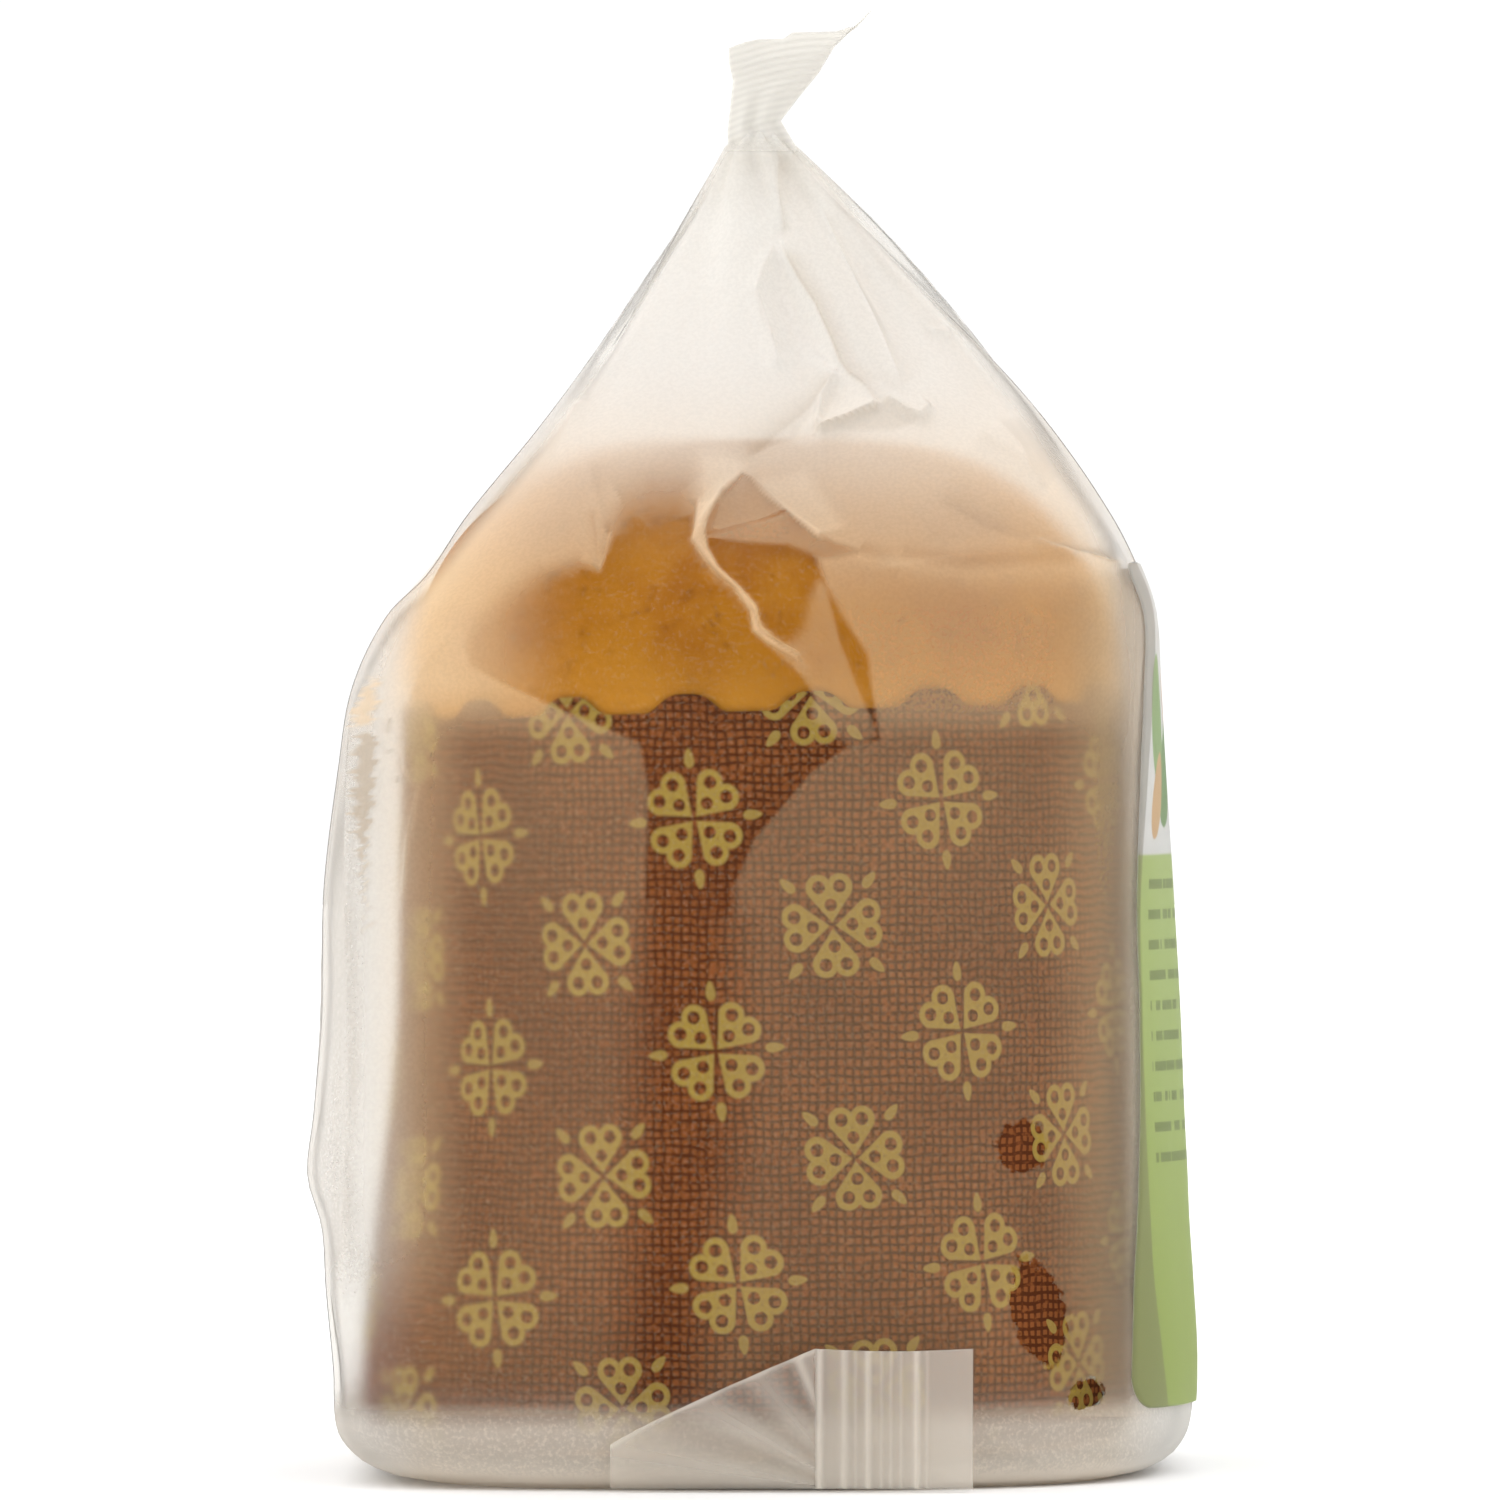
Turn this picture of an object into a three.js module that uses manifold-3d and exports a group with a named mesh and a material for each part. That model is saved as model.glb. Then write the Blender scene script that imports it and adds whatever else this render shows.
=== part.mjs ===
// A wrapped mini panettone, standing: a gusseted film bag, gathered at the neck under a crimped tail,
// with a sticker on its right face. The cake and its paper case fill the bag and are part of its solid.
// Millimetres, +Z up, X across the gusset face that is seen first, Y into the depth.

import * as THREE from "three";
import { mergeVertices } from "three/addons/utils/BufferGeometryUtils.js";
import Module from "manifold-3d";

const wasm = await Module();
wasm.setup();

// ---- driving dimensions -------------------------------------------------------------------------

// Stations up the body. left and right are how far the film reaches from the cake's axis along X, near
// and far along Y. The four corners are how square the section is there: 2 is an ellipse, 4 a squircle.
// The film lies close on the round paper case at the near right and stands off it at the other corners.
const BODY = [
  { z: 0, left: 34.4, right: 35.6, near: 33, far: 33, nearLeft: 4, nearRight: 2.8, farRight: 3.4, farLeft: 4 },
  { z: 0.7, left: 37.6, right: 38.6, near: 35, far: 35, nearLeft: 4.4, nearRight: 2.7, farRight: 3.6, farLeft: 4.2 },
  { z: 2.2, left: 40.3, right: 41, near: 36.6, far: 36.8, nearLeft: 5, nearRight: 2.5, farRight: 3.8, farLeft: 4.4 },
  { z: 5, left: 42.2, right: 42.4, near: 37.4, far: 38, nearLeft: 6, nearRight: 2.3, farRight: 4, farLeft: 4.6 },
  { z: 11, left: 42.5, right: 42.8, near: 37.8, far: 38.7, nearLeft: 7, nearRight: 2.1, farRight: 4, farLeft: 4.8 },
  { z: 19, left: 43.2, right: 42.4, near: 38, far: 39, nearLeft: 7.5, nearRight: 2, farRight: 4, farLeft: 5 },
  { z: 25, left: 43.6, right: 42, near: 38, far: 39, nearLeft: 7.5, nearRight: 2, farRight: 4, farLeft: 5 },
  { z: 30, left: 45, right: 41.8, near: 38, far: 39, nearLeft: 7.5, nearRight: 2, farRight: 4, farLeft: 5 },
  { z: 36, left: 44.4, right: 41.5, near: 38, far: 39, nearLeft: 7.5, nearRight: 2, farRight: 4, farLeft: 5 },
  { z: 46, left: 43.6, right: 41.1, near: 38, far: 39, nearLeft: 7.5, nearRight: 2, farRight: 4, farLeft: 5 },
  { z: 58, left: 43.4, right: 40.4, near: 38, far: 39, nearLeft: 7.5, nearRight: 2.1, farRight: 4, farLeft: 5 },
  { z: 70, left: 42, right: 39.6, near: 37.9, far: 38.8, nearLeft: 7, nearRight: 2.5, farRight: 4, farLeft: 4.8 },
  { z: 78, left: 40.7, right: 39.1, near: 37.4, far: 38.2, nearLeft: 6, nearRight: 3, farRight: 4, farLeft: 4.5 },
  { z: 85, left: 37.4, right: 38.6, near: 36.2, far: 36.9, nearLeft: 5, nearRight: 3.6, farRight: 4, farLeft: 4.2 },
  { z: 89, left: 33.6, right: 37.4, near: 34.2, far: 35, nearLeft: 4.4, nearRight: 3.7, farRight: 3.9, farLeft: 4 },
  { z: 95, left: 29.6, right: 34.5, near: 29.8, far: 30.4, nearLeft: 3.8, nearRight: 3.4, farRight: 3.6, farLeft: 3.7 },
  { z: 104, left: 22.2, right: 28.2, near: 21.6, far: 22.4, nearLeft: 3.2, nearRight: 3, farRight: 3.2, farLeft: 3.2 },
  { z: 113, left: 15.5, right: 20.8, near: 14.2, far: 15.2, nearLeft: 2.8, nearRight: 2.6, farRight: 2.8, farLeft: 2.8 },
  { z: 123, left: 9, right: 11.8, near: 7.8, far: 8.4, nearLeft: 2.4, nearRight: 2.4, farRight: 2.4, farLeft: 2.4 },
  { z: 129, left: 5.3, right: 5.9, near: 4.4, far: 4.6, nearLeft: 2.2, nearRight: 2.2, farRight: 2.2, farLeft: 2.2 },
  { z: 132, left: 3.7, right: 2.9, near: 3, far: 3.1, nearLeft: 2, nearRight: 2, farRight: 2, farLeft: 2 },
];
const CORNER_BLEND = 0.25; // how wide two corners' squareness blends where they meet, as a sine

// The tail above the neck is a crimped flag: each station is a line from its left edge to its right
// edge, as x and z, that rises to the right.
const TAIL = [
  { left: [-3.6, 133.8], right: [1.6, 134.5], depth: 2.5 },
  { left: [-3.6, 135.5], right: [3.9, 137.5], depth: 3.1 },
  { left: [-3.4, 137.2], right: [5.4, 139.3], depth: 3.3 },
  { left: [-3.1, 139], right: [6.8, 141.6], depth: 2.9 },
  { left: [-3.4, 141.7], right: [10.6, 145.7], depth: 1.7 },
];
const TAIL_SWEEP = 1.5; // the lines curl up towards the tail's tip
const RIBS = { depth: 0.32, count: 5 }; // crimp ribs across the tail

const NECK_Z = 134.5;
const GATHERS = { count: 9, startZ: 90, depth: 0.13, turn: 0.9 }; // pleats: share of the radius, and twist
const GUSSET_VALLEY = 0.1; // share of the radius by which each gusset is drawn in under the neck

const SEAL = { left: 4.6, right: 19.2, bottom: 1.4, top: 14 }; // turned-up end of the bottom seal
const SEAL_WEB = { left: -15, bottom: 2.2, top: 6.4 }; // the web of film beside it runs out here
const SEAL_PLATE = { innerY: -35.4, outerY: -37.2, lean: 0.21 }; // it stands off more towards its top

const LABEL = { bottom: 7, top: 90, nearEdge: -17, nearBow: 6, farEdge: 31, corner: 3.5, gap: 0.5, thick: 0.3 };

const AROUND = 64; // facets round the bag
const RING_HEIGHTS = [
  0, 0.7, 1.5, 3, 5, 8, 12, 18, 25, 30, 36, 43, 50, 58, 66, 72, 77, 81, 84, 87, 90, 93, 97, 101, 105,
  109, 113, 117, 121, 125, 128, 130, 132,
];
const TAIL_STEPS = 3; // rings between two stations of the tail
const LABEL_ROWS = 16;
const LABEL_COLUMNS = 16;
const HALVINGS = 24;
const WELD = 1e-4;

// ---- the bag's form -----------------------------------------------------------------------------

// A smooth curve through the stations: cubic pieces whose slopes are the chords' mean.
function alongStations(z, key) {
  const last = BODY.length - 1;
  let i = 0;
  while (i < last - 1 && BODY[i + 1].z < z) i += 1;
  const slope = (k) => {
    const a = BODY[Math.max(k - 1, 0)];
    const b = BODY[Math.min(k + 1, last)];
    return (b[key] - a[key]) / (b.z - a.z);
  };
  const [p, q] = [BODY[i], BODY[i + 1]];
  const h = q.z - p.z;
  const t = (z - p.z) / h;
  const level = p[key] * (1 + 2 * t) * (1 - t) ** 2 + q[key] * t * t * (3 - 2 * t);
  return level + h * (slope(i) * t * (1 - t) ** 2 + slope(i + 1) * t * t * (t - 1));
}

// 0 on the low side of an axis, 1 on the high side, smooth across it.
function sideOf(sine) {
  return THREE.MathUtils.smoothstep(sine, -CORNER_BLEND, CORNER_BLEND);
}

// Gathers grow from the shoulder to the neck, and the two gussets, near and far, sink in.
function gatherFactor(angle, z) {
  const up = THREE.MathUtils.clamp((z - GATHERS.startZ) / (NECK_Z - GATHERS.startZ), 0, 1);
  const pleats = GATHERS.depth * up * up * Math.cos(GATHERS.count * (angle + GATHERS.turn * up));
  const valley = GUSSET_VALLEY * Math.sin(Math.PI * up) * Math.abs(Math.sin(angle)) ** 12;
  return 1 + pleats - valley;
}

// A point of the skin: a superellipse whose squareness changes from corner to corner.
function skinPoint(angle, z) {
  const at = (key) => alongStations(z, key);
  const [cos, sin] = [Math.cos(angle), Math.sin(angle)];
  const [toRight, toFar] = [sideOf(cos), sideOf(sin)];
  const mix = THREE.MathUtils.lerp;
  const nearSquare = mix(at("nearLeft"), at("nearRight"), toRight);
  const farSquare = mix(at("farLeft"), at("farRight"), toRight);
  const square = mix(nearSquare, farSquare, toFar);
  const middle = (at("right") - at("left")) / 2;
  const half = (at("right") + at("left")) / 2;
  const depth = mix(at("near"), at("far"), toFar);
  const reach = (Math.abs(cos / half) ** square + Math.abs(sin / depth) ** square) ** (-1 / square);
  const radius = reach * gatherFactor(angle, z);
  return new THREE.Vector3(middle + radius * cos, radius * sin, z);
}

function tailStation(along) {
  const span = TAIL.length - 1;
  const i = Math.min(Math.floor(along * span), span - 1);
  const t = along * span - i;
  const mix = (a, b) => a + (b - a) * t;
  const [p, q] = [TAIL[i], TAIL[i + 1]];
  return {
    left: [mix(p.left[0], q.left[0]), mix(p.left[1], q.left[1])],
    right: [mix(p.right[0], q.right[0]), mix(p.right[1], q.right[1])],
    depth: mix(p.depth, q.depth),
  };
}

// The flag's ring: an ellipse laid along the rising line, with ribs that grow away from the neck.
function tailPoint(angle, along) {
  const { left, right, depth } = tailStation(along);
  const across = (1 + Math.cos(angle)) / 2;
  const rise = THREE.MathUtils.lerp(across, across ** TAIL_SWEEP, along);
  const rib = RIBS.depth * Math.sin(2 * Math.PI * RIBS.count * along) * Math.sqrt(along);
  const pleats = 1 + GATHERS.depth * Math.cos(GATHERS.count * (angle + GATHERS.turn)) * (1 - along);
  return new THREE.Vector3(
    left[0] + (right[0] - left[0]) * across,
    depth * Math.sin(angle) * pleats + rib,
    left[1] + (right[1] - left[1]) * rise,
  );
}

// ---- meshes -------------------------------------------------------------------------------------

// Rings of equal length joined into a closed skin, with a fan over each end.
function closedLoft(rings) {
  const count = rings[0].length;
  const points = rings.flat();
  const triangles = [];
  for (let r = 0; r + 1 < rings.length; r += 1) {
    for (let k = 0; k < count; k += 1) {
      const a = r * count + k;
      const b = r * count + ((k + 1) % count);
      triangles.push(a, b, b + count, a, b + count, a + count);
    }
  }
  for (const [r, turned] of [[0, true], [rings.length - 1, false]]) {
    const centre = points.length;
    const sum = rings[r].reduce((s, p) => s.add(p), new THREE.Vector3());
    points.push(sum.divideScalar(count));
    for (let k = 0; k < count; k += 1) {
      const a = r * count + k;
      const b = r * count + ((k + 1) % count);
      triangles.push(centre, ...(turned ? [b, a] : [a, b]));
    }
  }
  return new THREE.BufferGeometry().setFromPoints(points).setIndex(triangles);
}

function ringOf(pointAt) {
  return Array.from({ length: AROUND }, (_, k) => pointAt((2 * Math.PI * k) / AROUND));
}

function bagSkin() {
  const rings = RING_HEIGHTS.map((z) => ringOf((angle) => skinPoint(angle, z)));
  const steps = (TAIL.length - 1) * TAIL_STEPS;
  for (let i = 0; i <= steps; i += 1) {
    rings.push(ringOf((angle) => tailPoint(angle, i / steps)));
  }
  return closedLoft(rings);
}

// The end of the bottom seal, turned up against the near gusset, with the web of film beside it.
function turnedUpSeal() {
  const outline = new THREE.Shape();
  outline.moveTo(SEAL_WEB.left, SEAL_WEB.top);
  outline.lineTo(SEAL_WEB.left, SEAL_WEB.bottom);
  outline.lineTo(SEAL.left, SEAL.bottom);
  outline.lineTo(SEAL.right, SEAL.bottom);
  outline.lineTo(SEAL.right, SEAL.top);
  outline.lineTo(SEAL.left, SEAL.top);
  outline.closePath();
  const depth = SEAL_PLATE.innerY - SEAL_PLATE.outerY;
  const plate = new THREE.ExtrudeGeometry(outline, { depth, bevelEnabled: false });
  plate.rotateX(Math.PI / 2).translate(0, SEAL_PLATE.innerY, 0);
  const leanOut = new THREE.Matrix4().makeShear(0, 0, 0, 0, 0, -SEAL_PLATE.lean);
  return plate.applyMatrix4(leanOut);
}

// The point of the right face at depth y and height z, found by halving the angle's range.
function rightFace(y, z) {
  let [low, high] = [-Math.PI / 2, Math.PI / 2];
  for (let i = 0; i < HALVINGS; i += 1) {
    const angle = (low + high) / 2;
    if (skinPoint(angle, z).y < y) low = angle;
    else high = angle;
  }
  return skinPoint((low + high) / 2, z);
}

function offRightFace(y, z, off) {
  const step = 0.2;
  const alongY = rightFace(y + step, z).sub(rightFace(y - step, z));
  const alongZ = rightFace(y, z + step).sub(rightFace(y, z - step));
  return rightFace(y, z).addScaledVector(alongY.cross(alongZ).normalize(), off);
}

// The sticker: a rounded rectangle wrapped round the right face, one thin closed sheet.
function stickerSheet() {
  const { bottom, top, nearEdge, nearBow, farEdge, corner, gap, thick } = LABEL;
  const points = [];
  for (const off of [gap, gap + thick]) {
    for (let i = 0; i <= LABEL_ROWS; i += 1) {
      const z = bottom + ((top - bottom) * (1 - Math.cos((Math.PI * i) / LABEL_ROWS))) / 2;
      const edge = Math.min(z - bottom, top - z, corner);
      const inset = corner - Math.sqrt(corner ** 2 - (corner - edge) ** 2);
      const fromMiddle = (2 * z - bottom - top) / (top - bottom);
      const start = nearEdge - nearBow * fromMiddle ** 2 + inset;
      for (let j = 0; j <= LABEL_COLUMNS; j += 1) {
        const y = THREE.MathUtils.lerp(start, farEdge - inset, j / LABEL_COLUMNS);
        points.push(offRightFace(y, z, off));
      }
    }
  }
  const row = LABEL_COLUMNS + 1;
  const sheet = row * (LABEL_ROWS + 1);
  const triangles = [];
  const quad = (a, b, c, d) => triangles.push(a, b, c, a, c, d);
  for (let i = 0; i < LABEL_ROWS; i += 1) {
    for (let j = 0; j < LABEL_COLUMNS; j += 1) {
      const a = i * row + j;
      quad(a, a + row, a + row + 1, a + 1);
      quad(a + sheet, a + 1 + sheet, a + row + 1 + sheet, a + row + sheet);
    }
  }
  const rim = [];
  for (let j = 0; j < LABEL_COLUMNS; j += 1) rim.push(j);
  for (let i = 0; i < LABEL_ROWS; i += 1) rim.push(i * row + LABEL_COLUMNS);
  for (let j = LABEL_COLUMNS; j > 0; j -= 1) rim.push(LABEL_ROWS * row + j);
  for (let i = LABEL_ROWS; i > 0; i -= 1) rim.push(i * row);
  rim.forEach((a, k) => {
    const b = rim[(k + 1) % rim.length];
    quad(a, b, b + sheet, a + sheet);
  });
  return new THREE.BufferGeometry().setFromPoints(points).setIndex(triangles);
}

function toSolid(geometry) {
  geometry.deleteAttribute("normal");
  geometry.deleteAttribute("uv");
  const merged = mergeVertices(geometry, WELD);
  const vertProperties = new Float32Array(merged.attributes.position.array);
  const triVerts = new Uint32Array(merged.index.array);
  return new wasm.Manifold(new wasm.Mesh({ numProp: 3, vertProperties, triVerts }));
}

function fromSolid(solid) {
  const { vertProperties, triVerts } = solid.getMesh();
  return new THREE.BufferGeometry()
    .setAttribute("position", new THREE.BufferAttribute(vertProperties, 3))
    .setIndex(new THREE.BufferAttribute(triVerts, 1));
}

// ---- the part -----------------------------------------------------------------------------------

const frostedFilm = new THREE.MeshStandardMaterial({ color: 0xe6e0d8, roughness: 0.38, metalness: 0 });
const labelPaper = new THREE.MeshStandardMaterial({ color: 0xc4db86, roughness: 0.45, metalness: 0 });

function namedMesh(name, geometry, material) {
  geometry.computeVertexNormals();
  const mesh = new THREE.Mesh(geometry, material);
  mesh.name = name;
  return mesh;
}

const bagGeometry = fromSolid(toSolid(bagSkin()).add(toSolid(turnedUpSeal())));

const panettone = new THREE.Group();
panettone.add(namedMesh("bag", bagGeometry, frostedFilm));
panettone.add(namedMesh("label", stickerSheet(), labelPaper));

// The origin is under the middle of the whole, on the surface that it stands on.
const whole = new THREE.Box3().setFromObject(panettone);
const middle = whole.getCenter(new THREE.Vector3());
panettone.position.set(-middle.x, -middle.y, -whole.min.z);

export default panettone;
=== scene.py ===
from functools import partialmethod
import bmesh
import bpy
import numpy as np
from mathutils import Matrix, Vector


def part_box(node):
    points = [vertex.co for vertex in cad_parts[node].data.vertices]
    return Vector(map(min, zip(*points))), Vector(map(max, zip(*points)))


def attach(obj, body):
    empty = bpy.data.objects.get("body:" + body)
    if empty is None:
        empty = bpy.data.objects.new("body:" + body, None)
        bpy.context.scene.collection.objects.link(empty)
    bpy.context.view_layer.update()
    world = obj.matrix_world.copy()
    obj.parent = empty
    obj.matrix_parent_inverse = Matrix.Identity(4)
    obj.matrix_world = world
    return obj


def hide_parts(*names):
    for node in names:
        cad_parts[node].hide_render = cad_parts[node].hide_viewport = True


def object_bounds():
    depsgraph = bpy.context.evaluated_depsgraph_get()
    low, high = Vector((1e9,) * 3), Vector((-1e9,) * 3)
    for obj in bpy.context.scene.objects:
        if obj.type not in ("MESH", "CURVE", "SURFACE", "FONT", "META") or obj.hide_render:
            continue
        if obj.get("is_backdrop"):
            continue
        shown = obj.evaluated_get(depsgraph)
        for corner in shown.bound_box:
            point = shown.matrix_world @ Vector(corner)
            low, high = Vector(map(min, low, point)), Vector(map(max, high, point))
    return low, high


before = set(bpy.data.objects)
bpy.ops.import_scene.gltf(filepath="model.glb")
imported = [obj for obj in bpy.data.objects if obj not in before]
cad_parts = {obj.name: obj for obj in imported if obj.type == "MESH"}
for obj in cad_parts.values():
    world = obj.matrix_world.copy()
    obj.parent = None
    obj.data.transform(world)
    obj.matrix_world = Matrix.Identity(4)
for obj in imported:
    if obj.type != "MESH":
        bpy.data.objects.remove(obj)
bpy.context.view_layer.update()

print("frame loaded")

# Shapes are worked out in millimetres from the cake's upright axis: x across the front, y into the
# depth, z up from the table. finishMesh moves them to the frame and to metres.
bagLow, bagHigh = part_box("bag")
pack = {"leftReach": 45.0, "farReach": 39.0}
axisX = bagLow.x + pack["leftReach"] / 1000
axisY = bagHigh.y - pack["farReach"] / 1000
# the camera's distance from the axis, its place left of it and above the table, and the width that it
# frames at the axis, all in millimetres
view = {"distance": 1100.0, "left": 1.5, "height": 71.7, "frame": 150.0, "sensor": 36.0}


def smooth(value):
    # 0 below 0, 1 above 1, and three squares less two cubes between
    value = np.clip(value, 0, 1)
    return value * value * (3 - 2 * value)


def finishMesh(name, points, faces, material, attributes=None, thick=0.0, weld=False, lining=None):
    # points in millimetres and faces as corner numbers become one smooth-shaded object; weld joins the
    # corners that meet at a pole; a lining is the material of the inner side of a thick wall
    place = np.asarray(points, float).reshape(-1, 3) / 1000 + (axisX, axisY, 0)
    faces = np.asarray(faces, np.int32)
    mesh = bpy.data.meshes.new(name)
    mesh.vertices.add(len(place))
    mesh.vertices.foreach_set("co", place.astype(np.float32).ravel())
    sides = faces.shape[1]
    mesh.loops.add(faces.size)
    mesh.loops.foreach_set("vertex_index", faces.ravel())
    mesh.polygons.add(len(faces))
    mesh.polygons.foreach_set("loop_start", np.arange(0, faces.size, sides, dtype=np.int32))
    mesh.polygons.foreach_set("loop_total", np.full(len(faces), sides, np.int32))
    mesh.update(calc_edges=True)
    mesh.polygons.foreach_set("use_smooth", np.ones(len(faces), bool))
    for key, values in (attributes or {}).items():
        layer = mesh.attributes.new(key, "FLOAT", "POINT")
        layer.data.foreach_set("value", np.asarray(values, np.float32).ravel())
    mesh.materials.append(material)
    if weld:
        joined = bmesh.new()
        joined.from_mesh(mesh)
        bmesh.ops.remove_doubles(joined, verts=joined.verts, dist=1e-7)
        joined.to_mesh(mesh)
        joined.free()
    mesh.validate()
    piece = bpy.data.objects.new(name, mesh)
    bpy.context.scene.collection.objects.link(piece)
    if thick:
        wall = piece.modifiers.new("wall", "SOLIDIFY")
        wall.thickness = thick / 1000
        wall.offset = -1
        wall.use_even_offset = False
        if lining:
            mesh.materials.append(lining)
            wall.material_offset = 1
    return piece


def belongs(piece, stands="bag"):
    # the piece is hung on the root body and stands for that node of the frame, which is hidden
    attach(piece, "root")
    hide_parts(stands)


def gridFaces(rows, columns, closed=False):
    # one quad between each four neighbouring grid points, turned outwards for rows that rise and
    # columns that run anticlockwise seen from above
    row, column = np.meshgrid(np.arange(rows - 1), np.arange(columns - (not closed)), indexing="ij")
    nextColumn = (column + 1) % columns
    corners = (row * columns + column, row * columns + nextColumn,
               (row + 1) * columns + nextColumn, (row + 1) * columns + column)
    return np.stack([corner.ravel() for corner in corners], axis=1)


def gridNormals(points):
    # the cross product of the steps along a row and up a column
    along = np.gradient(points, axis=1)
    up = np.gradient(points, axis=0)
    normal = np.cross(along, up)
    return normal / np.maximum(np.linalg.norm(normal, axis=-1, keepdims=True), 1e-9)


def addNode(tree, kind, inputs=None, **settings):
    node = tree.nodes.new(kind)
    for key, value in settings.items():
        setattr(node, key, value)
    for key, value in (inputs or {}).items():
        if isinstance(value, Field):
            value = value.socket
        if isinstance(value, bpy.types.NodeSocket):
            tree.links.new(value, node.inputs[key])
        else:
            node.inputs[key].default_value = value
    return node


class Field:
    # a number that nodes work out at every point, written like an ordinary number
    def __init__(self, tree, socket):
        self.tree, self.socket = tree, socket

    def maths(self, operation, *values):
        node = addNode(self.tree, "ShaderNodeMath", operation=operation)
        for place, value in enumerate((self, *values)):
            if isinstance(value, Field):
                self.tree.links.new(value.socket, node.inputs[place])
            else:
                node.inputs[place].default_value = value
        return Field(self.tree, node.outputs[0])

    def ramp(self, low, high, fromValue=0.0, toValue=1.0, smoothed=True):
        # goes from fromValue to toValue while this number goes from low to high
        node = addNode(self.tree, "ShaderNodeMapRange", {"Value": self, "From Min": low, "From Max": high,
                       "To Min": fromValue, "To Max": toValue},
                       interpolation_type="SMOOTHSTEP" if smoothed else "LINEAR")
        return Field(self.tree, node.outputs["Result"])

    def rest(self):
        # what is left of 1
        return self * -1.0 + 1.0


# each of Python's signs, and six plain words, stand for one operation of the Math node
operations = {"__add__": "ADD", "__sub__": "SUBTRACT", "__mul__": "MULTIPLY", "__truediv__": "DIVIDE",
              "__pow__": "POWER", "__abs__": "ABSOLUTE", "least": "MINIMUM", "most": "MAXIMUM",
              "nearest": "ROUND", "sine": "SINE", "floor": "FLOOR", "fraction": "FRACT"}
for sign, operation in operations.items():
    setattr(Field, sign, partialmethod(Field.maths, operation))


def newMaterial(name):
    material = bpy.data.materials.new(name)
    material.use_nodes = True
    material.node_tree.nodes.clear()
    return material, material.node_tree


def attribute(tree, name):
    return Field(tree, addNode(tree, "ShaderNodeAttribute", attribute_name=name).outputs["Fac"])


def objectPlace(tree):
    # Object coordinates as one vector and its three parts, in metres
    vector = addNode(tree, "ShaderNodeTexCoord").outputs["Object"]
    parts = addNode(tree, "ShaderNodeSeparateXYZ", {0: vector})
    return vector, [Field(tree, parts.outputs[i]) for i in range(3)]


def vectorOf(tree, x, y, z=0.0):
    return addNode(tree, "ShaderNodeCombineXYZ", {0: x, 1: y, 2: z}).outputs[0]


def noise(tree, vector, scale, detail=2.0, roughness=0.5, distortion=0.0):
    node = addNode(tree, "ShaderNodeTexNoise", {"Vector": vector, "Scale": scale, "Detail": detail,
                   "Roughness": roughness, "Distortion": distortion})
    return Field(tree, node.outputs["Fac"])


def blendColours(tree, share, first, second):
    # the first where the share is 0, the second where it is 1
    return addNode(tree, "ShaderNodeMix", {0: share, 6: first, 7: second}, data_type="RGBA").outputs[2]


def bump(tree, height, distance, strength):
    # the normal of a surface raised by height times distance in metres
    return addNode(tree, "ShaderNodeBump", {"Height": height, "Distance": distance,
                                            "Strength": strength}).outputs[0]


def shaderOf(tree, kind, inputs, **settings):
    # the output of a shader node, such as Diffuse, with these inputs
    return addNode(tree, "ShaderNodeBsdf" + kind, inputs, **settings).outputs[0]


def mixShaders(tree, share, first, second):
    # the first where the share is 0, the second where it is 1
    return addNode(tree, "ShaderNodeMixShader", {0: share, 1: first, 2: second}).outputs[0]


def flatness(tree):
    # 0 where a surface faces the line of sight and 1 where it lies along it
    return Field(tree, addNode(tree, "ShaderNodeLayerWeight", {"Blend": 0.5}).outputs["Facing"])


def mirrored(tree, blend):
    # the share of light that a smooth surface mirrors
    return Field(tree, addNode(tree, "ShaderNodeLayerWeight", {"Blend": blend}).outputs["Fresnel"])


def outputTo(tree, shader):
    addNode(tree, "ShaderNodeOutputMaterial", {"Surface": shader})


def linear(red, green, blue):
    # a screen colour of 0 to 255 as the linear colour that sockets take
    value = np.array([red, green, blue]) / 255
    value = np.where(value <= 0.04045, value / 12.92, ((value + 0.055) / 1.055) ** 2.4)
    return (*value.tolist(), 1.0)


# The camera looks level into the depth.
camera = bpy.data.objects.new("camera", bpy.data.cameras.new("camera"))
bpy.context.scene.collection.objects.link(camera)
camera.data.sensor_width = view["sensor"]
camera.data.lens = view["sensor"] * view["distance"] / view["frame"]
camera.location = (axisX - view["left"] / 1000, axisY - view["distance"] / 1000, view["height"] / 1000)
camera.rotation_euler = (np.pi / 2, 0, 0)
camera.data.clip_start = 0.1
bpy.context.scene.camera = camera

bpy.context.scene.view_settings.view_transform = "Standard"
# The studio is a surround of soft light: white behind and above, dark behind the camera, with a broad
# soft box on each side. Each box is a direction, how wide it spreads and how much it adds.
studio = {"behind": 1.06, "infront": 0.2, "above": 0.35,
          "boxes": [((-0.85, -0.3, 0.35), 0.75, 0.75), ((0.9, -0.2, 0.3), 0.7, 0.35),
                    ((0.1, -0.3, 0.95), 0.6, 0.6)]}
world = bpy.data.worlds.new("studio")
bpy.context.scene.world = world
world.use_nodes = True
world.cycles.sampling_method = "NONE"
tree = world.node_tree
direction = addNode(tree, "ShaderNodeTexCoord").outputs["Generated"]
parts = addNode(tree, "ShaderNodeSeparateXYZ", {0: direction})
x, y, z = [Field(tree, parts.outputs[i]) for i in range(3)]
glow = y.ramp(-1.0, -0.1, studio["infront"], studio["behind"]) + z.ramp(0.1, 0.9, 0, studio["above"])
for towards, spread, gain in studio["boxes"]:
    towards = np.array(towards) / np.linalg.norm(towards)
    cosine = x * float(towards[0]) + y * float(towards[1]) + z * float(towards[2])
    glow = glow + cosine.ramp(1 - spread * spread, 1.0, 0, gain)
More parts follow.
